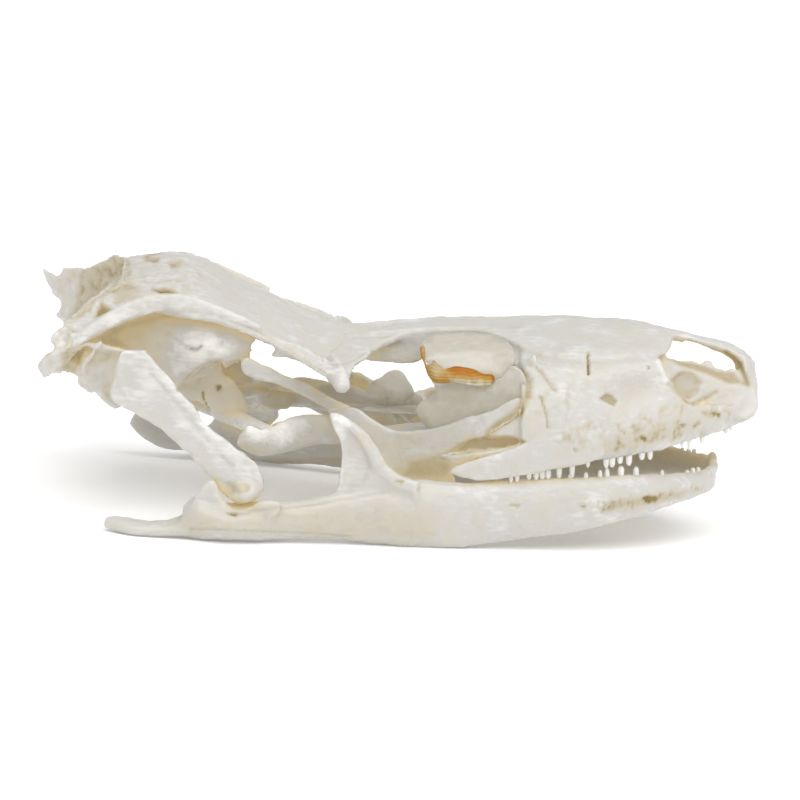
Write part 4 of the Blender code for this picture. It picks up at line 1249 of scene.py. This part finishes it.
# Tan and painted shade of faces that look inwards, from how far they are turned and from how far off the
# middle plane in mm
INNER_TAN_AND_SHADE = 0.3
INNER_TURN = (0.1, 0.5)
INNER_START = 1.5


def tan_and_shade_inside(bones):
    """Faces that look to the skull's middle get more tan the more they are shut in: partly the tan of dried
    tissue, partly painted shade of the hollows.
    """
    least, span = INNER_TURN
    for bone in bones:
        depth = bone.points[:, 1]
        turned = np.clip((-np.sign(depth) * bone.facing[:, 1] - least) / span, 0, 1)
        bone.stain_and_shade += INNER_TAN_AND_SHADE * turned * np.clip(np.abs(depth) / INNER_START, 0, 1) * bone.hollow_shade


def mark(bones, sides, kind, points, width, depth, stain_and_shade):
    """Sinks a line or an area into what shows there by depth in mm, and stains it: tan, painted shade and
    painted light.
    """
    if kind == "line" and len(points) > 2:
        points = smooth_rows(points)
    for bone in bones:
        for side in sides:
            places = bone.places[side]
            if kind == "line":
                share = np.clip(1 - off_line(places, points) / width, 0, 1)
            else:
                away = off_line(places, points + points[:1])
                away = np.where(within(places, points), -away, away)
                share = np.clip(0.5 - away / width, 0, 1)
            share = share * share * (3 - 2 * share) * bone.seen[side]
            if kind in BEYOND:
                share = share * (bone.points[:, 1] > BEYOND[kind])
            if kind == "rough":
                for k in np.nonzero(share)[0]:
                    at = Vector(bone.points[k])
                    share[k] *= sum(deep * noise.noise(at * rate) for rate, deep in PITS)
            bone.sink += share * depth
            bone.stain_and_shade += np.maximum(share, 0.0) * stain_and_shade


# Materials


def linear(colour):
    """sRGB hex to linear red, green, blue and one."""
    parts = [int(colour[k:k + 2], 16) / 255 for k in (1, 3, 5)]
    return (*(c / 12.92 if c <= 0.04045 else ((c + 0.055) / 1.055) ** 2.4 for c in parts), 1.0)


def add_node(tree, kind, settings=None, links=None, stops=()):
    """Adds a node with its settings, its inputs linked or set, and its ramp's stops from low to high."""
    made = tree.nodes.new(kind)
    for name, value in (settings or {}).items():
        setattr(made, name, value)
    for socket, value in (links or {}).items():
        if isinstance(value, bpy.types.NodeSocket):
            tree.links.new(value, made.inputs[socket])
        else:
            made.inputs[socket].default_value = value
    if stops:
        ramp = made.color_ramp.elements
        for end, (position, colour) in zip(ramp, (stops[0], stops[-1])):
            end.position = position
            end.color = linear(colour)
        for position, colour in stops[1:-1]:
            ramp.new(position).color = linear(colour)
    return made


def new_material(name):
    made = bpy.data.materials.new(name)
    made.use_nodes = True
    made.node_tree.nodes.clear()
    return made, made.node_tree


def pattern(size):
    """Scale of a texture whose features have this size in mm."""
    return 1 / (size * MM)


# Patterns in mm. A wave texture of scale 1 repeats after WAVE_REPEAT.
BLOTCH = 1.25
GRAIN = 0.1538
FIBRE = 0.1667
FIBRE_STRETCH = (0.25, 1.0, 1.0)
WRINKLE = 0.4
LAMELLA = 0.1208
WAVE_REPEAT = 2 * math.pi / 20
# Sockets of a colour mix, which have no names of their own
MIX_SHARE, MIX_FIRST, MIX_SECOND, MIX_RESULT = 0, 6, 7, 2


def degreased_bone():
    """Bone cleaned and dried: chalky white, faintly glossy on its skin, tan where tissue is left, with
    painted shade and a painted glow in its hollows.
    """
    made, tree = new_material("degreased_bone")
    hollow_shade = add_node(tree, "ShaderNodeAttribute", {"attribute_name": "hollow_shade"})
    stain_and_shade = add_node(tree, "ShaderNodeAttribute", {"attribute_name": "stain_and_shade"})
    place = add_node(tree, "ShaderNodeTexCoord").outputs["Object"]
    # Soft blotches, fine grain, and fibres four times as long as wide along the skull
    blotch = add_node(tree, "ShaderNodeTexNoise", None, {"Vector": place, "Scale": pattern(BLOTCH)})
    grain = add_node(tree, "ShaderNodeTexNoise", None, {"Vector": place, "Scale": pattern(GRAIN)})
    along = add_node(tree, "ShaderNodeMapping", None, {"Vector": place, "Scale": FIBRE_STRETCH})
    fibre = add_node(
        tree, "ShaderNodeTexNoise", None, {"Vector": along.outputs["Vector"], "Scale": pattern(FIBRE)},
    )
    # Painted shade: bone that is shut in by other bone is drawn darker and more tan
    shut = add_node(
        tree, "ShaderNodeMapRange", None,
        {"Value": hollow_shade.outputs["Fac"], "From Min": 0.15, "From Max": 0.8, "To Min": 0.12, "To Max": 0.75},
    )
    # A negative stain (whiter teeth, and painted light on bone in shade) lightens as it is, and a positive
    # one (tan, and painted shade in recesses) mostly tints further down
    part = add_node(tree, "ShaderNodeMath", {"operation": "MULTIPLY"}, {0: stain_and_shade.outputs["Fac"], 1: 0.35})
    toned = add_node(
        tree, "ShaderNodeMath", {"operation": "MINIMUM"}, {0: stain_and_shade.outputs["Fac"], 1: part.outputs[0]},
    )
    tone = add_node(tree, "ShaderNodeMath", {"operation": "ADD"}, {0: toned.outputs[0], 1: shut.outputs[0]})
    uneven = add_node(
        tree, "ShaderNodeMath", {"operation": "MULTIPLY_ADD"}, {0: blotch.outputs["Fac"], 1: 0.4, 2: -0.2},
    )
    streaks = add_node(
        tree, "ShaderNodeMath", {"operation": "MULTIPLY_ADD"},
        {0: fibre.outputs["Fac"], 1: 0.24, 2: uneven.outputs[0]},
    )
    mixed = add_node(
        tree, "ShaderNodeMath", {"operation": "ADD", "use_clamp": True},
        {0: tone.outputs[0], 1: streaks.outputs[0]},
    )
    bare_bone_and_shade = add_node(
        tree, "ShaderNodeValToRGB", None, {"Fac": mixed.outputs[0]},
        [(0.0, "#E6E4DE"), (0.22, "#C2C0BC"), (0.42, "#C4BEAF"), (0.7, "#C9BC9B"), (1.0, "#BDAA7B")],
    )
    # Dried tissue, and the painted shade of recesses, lie over the bone where it is stained
    cover = add_node(
        tree, "ShaderNodeMath", {"operation": "MULTIPLY", "use_clamp": True},
        {0: stain_and_shade.outputs["Fac"], 1: 1.4},
    )
    tissue_and_shade = add_node(
        tree, "ShaderNodeValToRGB", None, {"Fac": stain_and_shade.outputs["Fac"]}, [(0.1, "#B3A57F"),
            (0.65, "#84703E")],
    )
    colour = add_node(
        tree, "ShaderNodeMix", {"data_type": "RGBA"},
        {
            MIX_SHARE: cover.outputs[0],
            MIX_FIRST: bare_bone_and_shade.outputs["Color"],
            MIX_SECOND: tissue_and_shade.outputs["Color"],
        },
    )
    # A painted glow in the hollows, emitted by the bone itself, stands for light that soaks through walls
    # of 0.2 mm, warm from the bone
    painted_soak_glow = add_node(
        tree, "ShaderNodeValToRGB", None, {"Fac": hollow_shade.outputs["Fac"]}, [(0.2, "#000000"),
            (0.6, "#6E6654")],
    )
    height = add_node(
        tree, "ShaderNodeMath", {"operation": "ADD"}, {0: grain.outputs["Fac"], 1: fibre.outputs["Fac"]},
    )
    bump = add_node(
        tree, "ShaderNodeBump", None, {"Height": height.outputs[0], "Distance": 0.03 * MM, "Strength": 0.6},
    )
    shader = add_node(tree, "ShaderNodeBsdfPrincipled", None, {
        "Base Color": colour.outputs[MIX_RESULT],
        "Emission Color": painted_soak_glow.outputs["Color"],
        "Emission Strength": 1.0,
        "Roughness": 0.42,
        "IOR": 1.54,
        "Normal": bump.outputs["Normal"],
        "Subsurface Weight": 0.4,
        "Subsurface Radius": (1.0, 0.95, 0.85),
        "Subsurface Scale": 1.0 * MM,
    })
    add_node(tree, "ShaderNodeOutputMaterial", None, {"Surface": shader.outputs["BSDF"]})
    return made


def dried_film():
    """Cornea and sclera dried to a thin milky skin, half clear and dull, with fine wrinkles."""
    made, tree = new_material("dried_eye_film")
    place = add_node(tree, "ShaderNodeTexCoord").outputs["Object"]
    wrinkle = add_node(tree, "ShaderNodeTexNoise", None, {"Vector": place, "Scale": pattern(WRINKLE)})
    milky = add_node(
        tree, "ShaderNodeValToRGB", None, {"Fac": wrinkle.outputs["Fac"]}, [(0.3, "#B9B5A9"),
            (0.7, "#C8C4B9")],
    )
    bump = add_node(
        tree, "ShaderNodeBump", None,
        {"Height": wrinkle.outputs["Fac"], "Distance": 0.05 * MM, "Strength": 0.5},
    )
    # The faint glow stands for light that soaks through from behind
    shader = add_node(tree, "ShaderNodeBsdfPrincipled", None, {
        "Base Color": milky.outputs["Color"],
        "Roughness": 0.35,
        "Alpha": 0.7,
        "Emission Color": linear("#4A4840"),
        "Emission Strength": 1.0,
        "Subsurface Weight": 1.0,
        "Subsurface Radius": (1.0, 1.0, 1.0),
        "Subsurface Scale": 0.5 * MM,
        "Normal": bump.outputs["Normal"],
    })
    add_node(tree, "ShaderNodeOutputMaterial", None, {"Surface": shader.outputs["BSDF"]})
    return made


def dried_iris():
    """Iris and muscle dried to thin amber layers: orange where thick and straw where thin."""
    made, tree = new_material("dried_iris_amber")
    stain_and_shade = add_node(tree, "ShaderNodeAttribute", {"attribute_name": "stain_and_shade"})
    place = add_node(tree, "ShaderNodeTexCoord").outputs["Object"]
    layers = add_node(
        tree, "ShaderNodeTexWave", {"bands_direction": "Z"},
        {"Vector": place, "Scale": pattern(LAMELLA) * WAVE_REPEAT, "Distortion": 7.0, "Detail Scale": 0.6},
    )
    mixed = add_node(
        tree, "ShaderNodeMath", {"operation": "MULTIPLY_ADD", "use_clamp": True},
        {0: layers.outputs["Fac"], 1: 0.14, 2: stain_and_shade.outputs["Fac"]},
    )
    amber = add_node(
        tree, "ShaderNodeValToRGB", None, {"Fac": mixed.outputs[0]},
        [(0.0, "#C4BAA4"), (0.4, "#B5A27A"), (0.7, "#AC853F"), (1.0, "#A8690A")],
    )
    bump = add_node(
        tree, "ShaderNodeBump", None,
        {"Height": layers.outputs["Fac"], "Distance": 0.03 * MM, "Strength": 0.5},
    )
    shader = add_node(tree, "ShaderNodeBsdfPrincipled", None, {
        "Base Color": amber.outputs["Color"],
        "Roughness": 0.45,
        "Specular IOR Level": 0.3,
        "Normal": bump.outputs["Normal"],
    })
    add_node(tree, "ShaderNodeOutputMaterial", None, {"Surface": shader.outputs["BSDF"]})
    return made


# Dried remains of the eyes by their outlines in the photograph
EYE_DOME = [
    (420, 345), (427, 339), (437, 334), (456, 332), (482, 332), (496, 336), (508, 343), (514, 354),
        (512, 368),
    (504, 378), (494, 382), (482, 384), (468, 383), (455, 380), (444, 379), (434, 374), (426, 362),
]
EYE_CRESCENT = [
    (420, 348), (421, 355), (424, 363), (426, 370), (429, 377), (434, 382), (443, 383), (454, 382),
        (465, 384),
    (479, 386), (490, 385), (494, 380), (492, 375), (483, 374), (474, 370), (465, 368), (455, 367),
        (446, 369),
    (440, 366), (434, 361), (431, 365), (427, 365), (425, 359), (425, 351), (423, 346),
]
EYE_SHEET = [
    (432, 381), (448, 383), (462, 383), (482, 388), (494, 381), (503, 376), (512, 366), (522, 372),
        (527, 384),
    (527, 398), (522, 410), (505, 418), (480, 428), (455, 432), (436, 432), (424, 424), (416, 410),
        (424, 400),
    (434, 393), (435, 386),
]
FAR_DOME = [
    (365, 391), (369, 385), (374, 381), (380, 378), (386, 375), (391, 372), (398, 371), (404, 374),
        (409, 383),
    (414, 392), (418, 400), (412, 414), (400, 420), (388, 412), (374, 402),
]
FAR_SHEET = [
    (384, 386), (392, 398), (398, 402), (406, 398), (414, 394), (424, 399), (420, 412), (404, 418),
    (390, 408),
]
FAR_STRANDS = [
    [(385, 398, 2.6, 0.1, 0.1), (390, 410, 2.5, 0.12, 0.1), (397, 422, 2.4, 0.1, 0.1)],
    [(396, 404, 2.5, 0.06, 0.06), (402, 414, 2.4, 0.1, 0.08), (412, 424, 2.2, 0.08, 0.08)],
]
# The film curves out and down from the frontal's edge, as (down, y), and the iris lies a little outside it
EYE_DEPTHS = [(332, -1.55), (336, -2.3), (345, -3.4), (360, -4.5), (384, -5.1), (412, -4.9)]
CRESCENT_OUT = 0.14
CRESCENT_DEPTHS = [(down, y - CRESCENT_OUT) for down, y in EYE_DEPTHS]
SHEET_DEPTHS = [(418, -4.0), (450, -4.4), (490, -5.0), (528, -5.5)]
FAR_DOME_DEPTHS = [(390, 2.7)]
FAR_SHEET_DEPTHS = [(390, 2.5)]
DOME_WALL = 0.1
DOME_SWELL = (0.3, (466, 360), (42, 24))
CRESCENT_SWELL = (0.3, (455, 372), (40, 22))
FAR_SWELL = (0.6, (398, 386), (20, 18))
# Bands of the dried iris: line, width in pixels, and how much deeper in colour than straw
AMBER_STRAW = 0.35
AMBER_BANDS = [
    ([(452, 370), (462, 369), (474, 372), (484, 376), (492, 379)], 5.0, 0.75),
    ([(420, 350), (424, 364), (428, 374), (434, 381), (448, 383)], 4.0, 0.35),
    ([(456, 383), (470, 384), (480, 386), (490, 386)], 5.0, -0.4),
]


def show_eyes():
    """Remains of the two eyes, which hang dried in the orbits."""
    film = dried_film()
    amber = dried_iris()
    near_film = [
        drawn(EYE_DOME, EYE_DEPTHS, DOME_WALL, bulge=DOME_SWELL, by_height=True),
        drawn(EYE_SHEET, SHEET_DEPTHS, THIN_FILM, ragged=0.04),
    ]
    crescent = [drawn(EYE_CRESCENT, CRESCENT_DEPTHS, FILM, bulge=CRESCENT_SWELL, by_height=True)]
    far_film = [
        drawn(FAR_DOME, FAR_DOME_DEPTHS, FILM, ragged=0.04, bulge=FAR_SWELL),
        drawn(FAR_SHEET, FAR_SHEET_DEPTHS, THIN_FILM, ragged=0.1),
        *[traced(strand) for strand in FAR_STRANDS],
    ]
    for name, node, bodies, made in (
        ("eye_right_film", "eye_right", near_film, film),
        ("eye_right_iris", "eye_right", crescent, amber),
        ("eye_left_film", "eye_left", far_film, film),
    ):
        piece = Bone(name, joined(bodies), [node])
        piece.stain_and_shade += AMBER_STRAW
        for line, width, deeper in AMBER_BANDS:
            away = off_line(seen_at(piece.points), line)
            piece.stain_and_shade += deeper * np.clip(1.5 - away / width, 0, 1)
        shown(piece, made)


def shown(bone, made):
    """Turns a worked bone into an object in metres that stands for its CAD nodes."""
    mesh = bone.mesh
    for name, values in (("hollow_shade", bone.hollow_shade), ("stain_and_shade", bone.stain_and_shade)):
        mesh.attributes.new(name, "FLOAT", "POINT").data.foreach_set("value", values)
    mesh.transform(Matrix.Diagonal((MM, MM, MM, 1.0)))
    mesh.materials.append(made)
    mesh.shade_smooth()
    thing = bpy.data.objects.new(bone.name, mesh)
    bpy.context.scene.collection.objects.link(thing)
    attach(thing, "root")
    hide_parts(*bone.nodes)


def build_bones():
    """Every bone with its teeth. The left jaw, quadrate and rod are mirrored from the right."""
    edge_of_jaw = [(x, y, top) for x, y, _, _, top in JAW]
    upper_teeth = both(tooth_row(UPPER_TIPS, UPPER_JAW_EDGE, True))
    lower_teeth = tooth_row(LOWER_TIPS, edge_of_jaw, False)
    right_jaw = joined([jaw(RIGHT_SPUR, 1.0), *[bm.copy() for bm in lower_teeth]])
    left_jaw = mirrored(joined([jaw(LEFT_SPUR, LEFT_CREST_HEIGHT), *lower_teeth]))
    near_quadrate = quadrate()
    far_quadrate = mirrored(near_quadrate)
    near_rod = rod()
    far_rod = mirrored(near_rod)
    roof = joined([roof_and_snout(), *upper_teeth])
    return [
        Bone("braincase_bones", occiput_and_braincase(), ["cranium"]),
        Bone("roof_and_snout_bones", roof, ["cranium"], 2 * len(UPPER_TIPS)),
        Bone("palate_bones", upper_jaw_and_palate(), ["cranium"]),
        Bone("mandible_right_bone", right_jaw, ["mandible_right"], len(LOWER_TIPS)),
        Bone("mandible_left_bone", left_jaw, ["mandible_left"], len(LOWER_TIPS)),
        Bone("quadrate_right_bone", near_quadrate, ["quadrate_right"]),
        Bone("quadrate_left_bone", far_quadrate, ["quadrate_left"]),
        Bone("epipterygoid_right_bone", near_rod, ["epipterygoid_right"]),
        Bone("epipterygoid_left_bone", far_rod, ["epipterygoid_left"]),
    ]


def wear_and_shade(bones):
    """Gives the bones their waves, the hollows that set their painted shade, their stains with painted
    light and shade, and marks, and keeps them above the floor.
    """
    for bone in bones:
        undulate(bone)
    find_hollows(bones)
    find_seen(bones, tree_of(bones))
    for bone in bones:
        bone.places = {side: seen_at(bone.points * np.array([1.0, -side, 1.0])) for side in TWO_SIDES}
        bone.sink = np.zeros(len(bone.points))
    tan_and_shade_inside(bones)
    for sides, rows in ((TWO_SIDES, MARKS), (RIGHT_SIDE, RIGHT_MARKS)):
        for kind, points, width, depth, stain_and_shade in rows:
            mark(bones, sides, kind, points, width, depth, stain_and_shade)
    for bone in bones:
        moved = bone.points - bone.facing * bone.sink[:, None]
        moved[:, 2] = np.maximum(moved[:, 2], 0.0)
        bone.move(moved)
        if bone.teeth:
            bone.hollow_shade[-bone.teeth:] *= TOOTH_SHADE
            bone.stain_and_shade[-bone.teeth:] = -TOOTH_WHITENESS


skull = build_bones()
wear_and_shade(skull)
dry_bone = degreased_bone()
for each in skull:
    shown(each, dry_bone)
show_eyes()


# Floor, light and camera


# Paper's half width in metres, the room's light, and a wide soft lamp overhead
PAPER_HALF = 1.5
PAPER_GLOW = 0.16
ROOM_LIGHT = 0.66
LAMP_POWER = 2.0
LAMP_WIDTH = math.radians(60)
LAMP_TURN = (math.radians(28), math.radians(14), 0.0)
WHITE = (1.0, 1.0, 1.0, 1.0)
NEAR_CLIP = 0.01


def studio():
    mesh = bpy.data.meshes.new("floor")
    corners = [(x * PAPER_HALF, y * PAPER_HALF, 0) for x, y in ((-1, -1), (1, -1), (1, 1), (-1, 1))]
    mesh.from_pydata(corners, [], [(0, 1, 2, 3)])
    floor = bpy.data.objects.new("floor", mesh)
    bpy.context.scene.collection.objects.link(floor)
    made, tree = new_material("white_paper_sweep")
    shader = add_node(tree, "ShaderNodeBsdfPrincipled", None, {
        "Base Color": linear("#F6F6F6"),
        "Roughness": 0.9,
        "Specular IOR Level": 0.0,
        "Emission Color": WHITE,
        "Emission Strength": PAPER_GLOW,
    })
    add_node(tree, "ShaderNodeOutputMaterial", None, {"Surface": shader.outputs["BSDF"]})
    mesh.materials.append(made)
    world = bpy.data.worlds.new("soft_room")
    world.use_nodes = True
    room = world.node_tree.nodes["Background"].inputs
    room["Color"].default_value = WHITE
    room["Strength"].default_value = ROOM_LIGHT
    bpy.context.scene.world = world
    lamp = bpy.data.lights.new("overhead_softbox", "SUN")
    lamp.energy = LAMP_POWER
    lamp.angle = LAMP_WIDTH
    sun = bpy.data.objects.new("overhead_softbox", lamp)
    sun.rotation_euler = LAMP_TURN
    bpy.context.scene.collection.objects.link(sun)


def camera():
    lens = bpy.data.cameras.new("camera")
    lens.lens = FOCAL_PIXELS / PICTURE * SENSOR
    lens.sensor_width = SENSOR
    lens.clip_start = NEAR_CLIP
    held = bpy.data.objects.new("camera", lens)
    turn = Matrix((RIGHT, OVER, -AHEAD)).transposed().to_4x4()
    held.matrix_world = Matrix.Translation(VIEW_FROM * MM) @ turn
    bpy.context.scene.collection.objects.link(held)
    bpy.context.scene.camera = held


studio()
camera()
bpy.context.scene.view_settings.view_transform = "Standard"
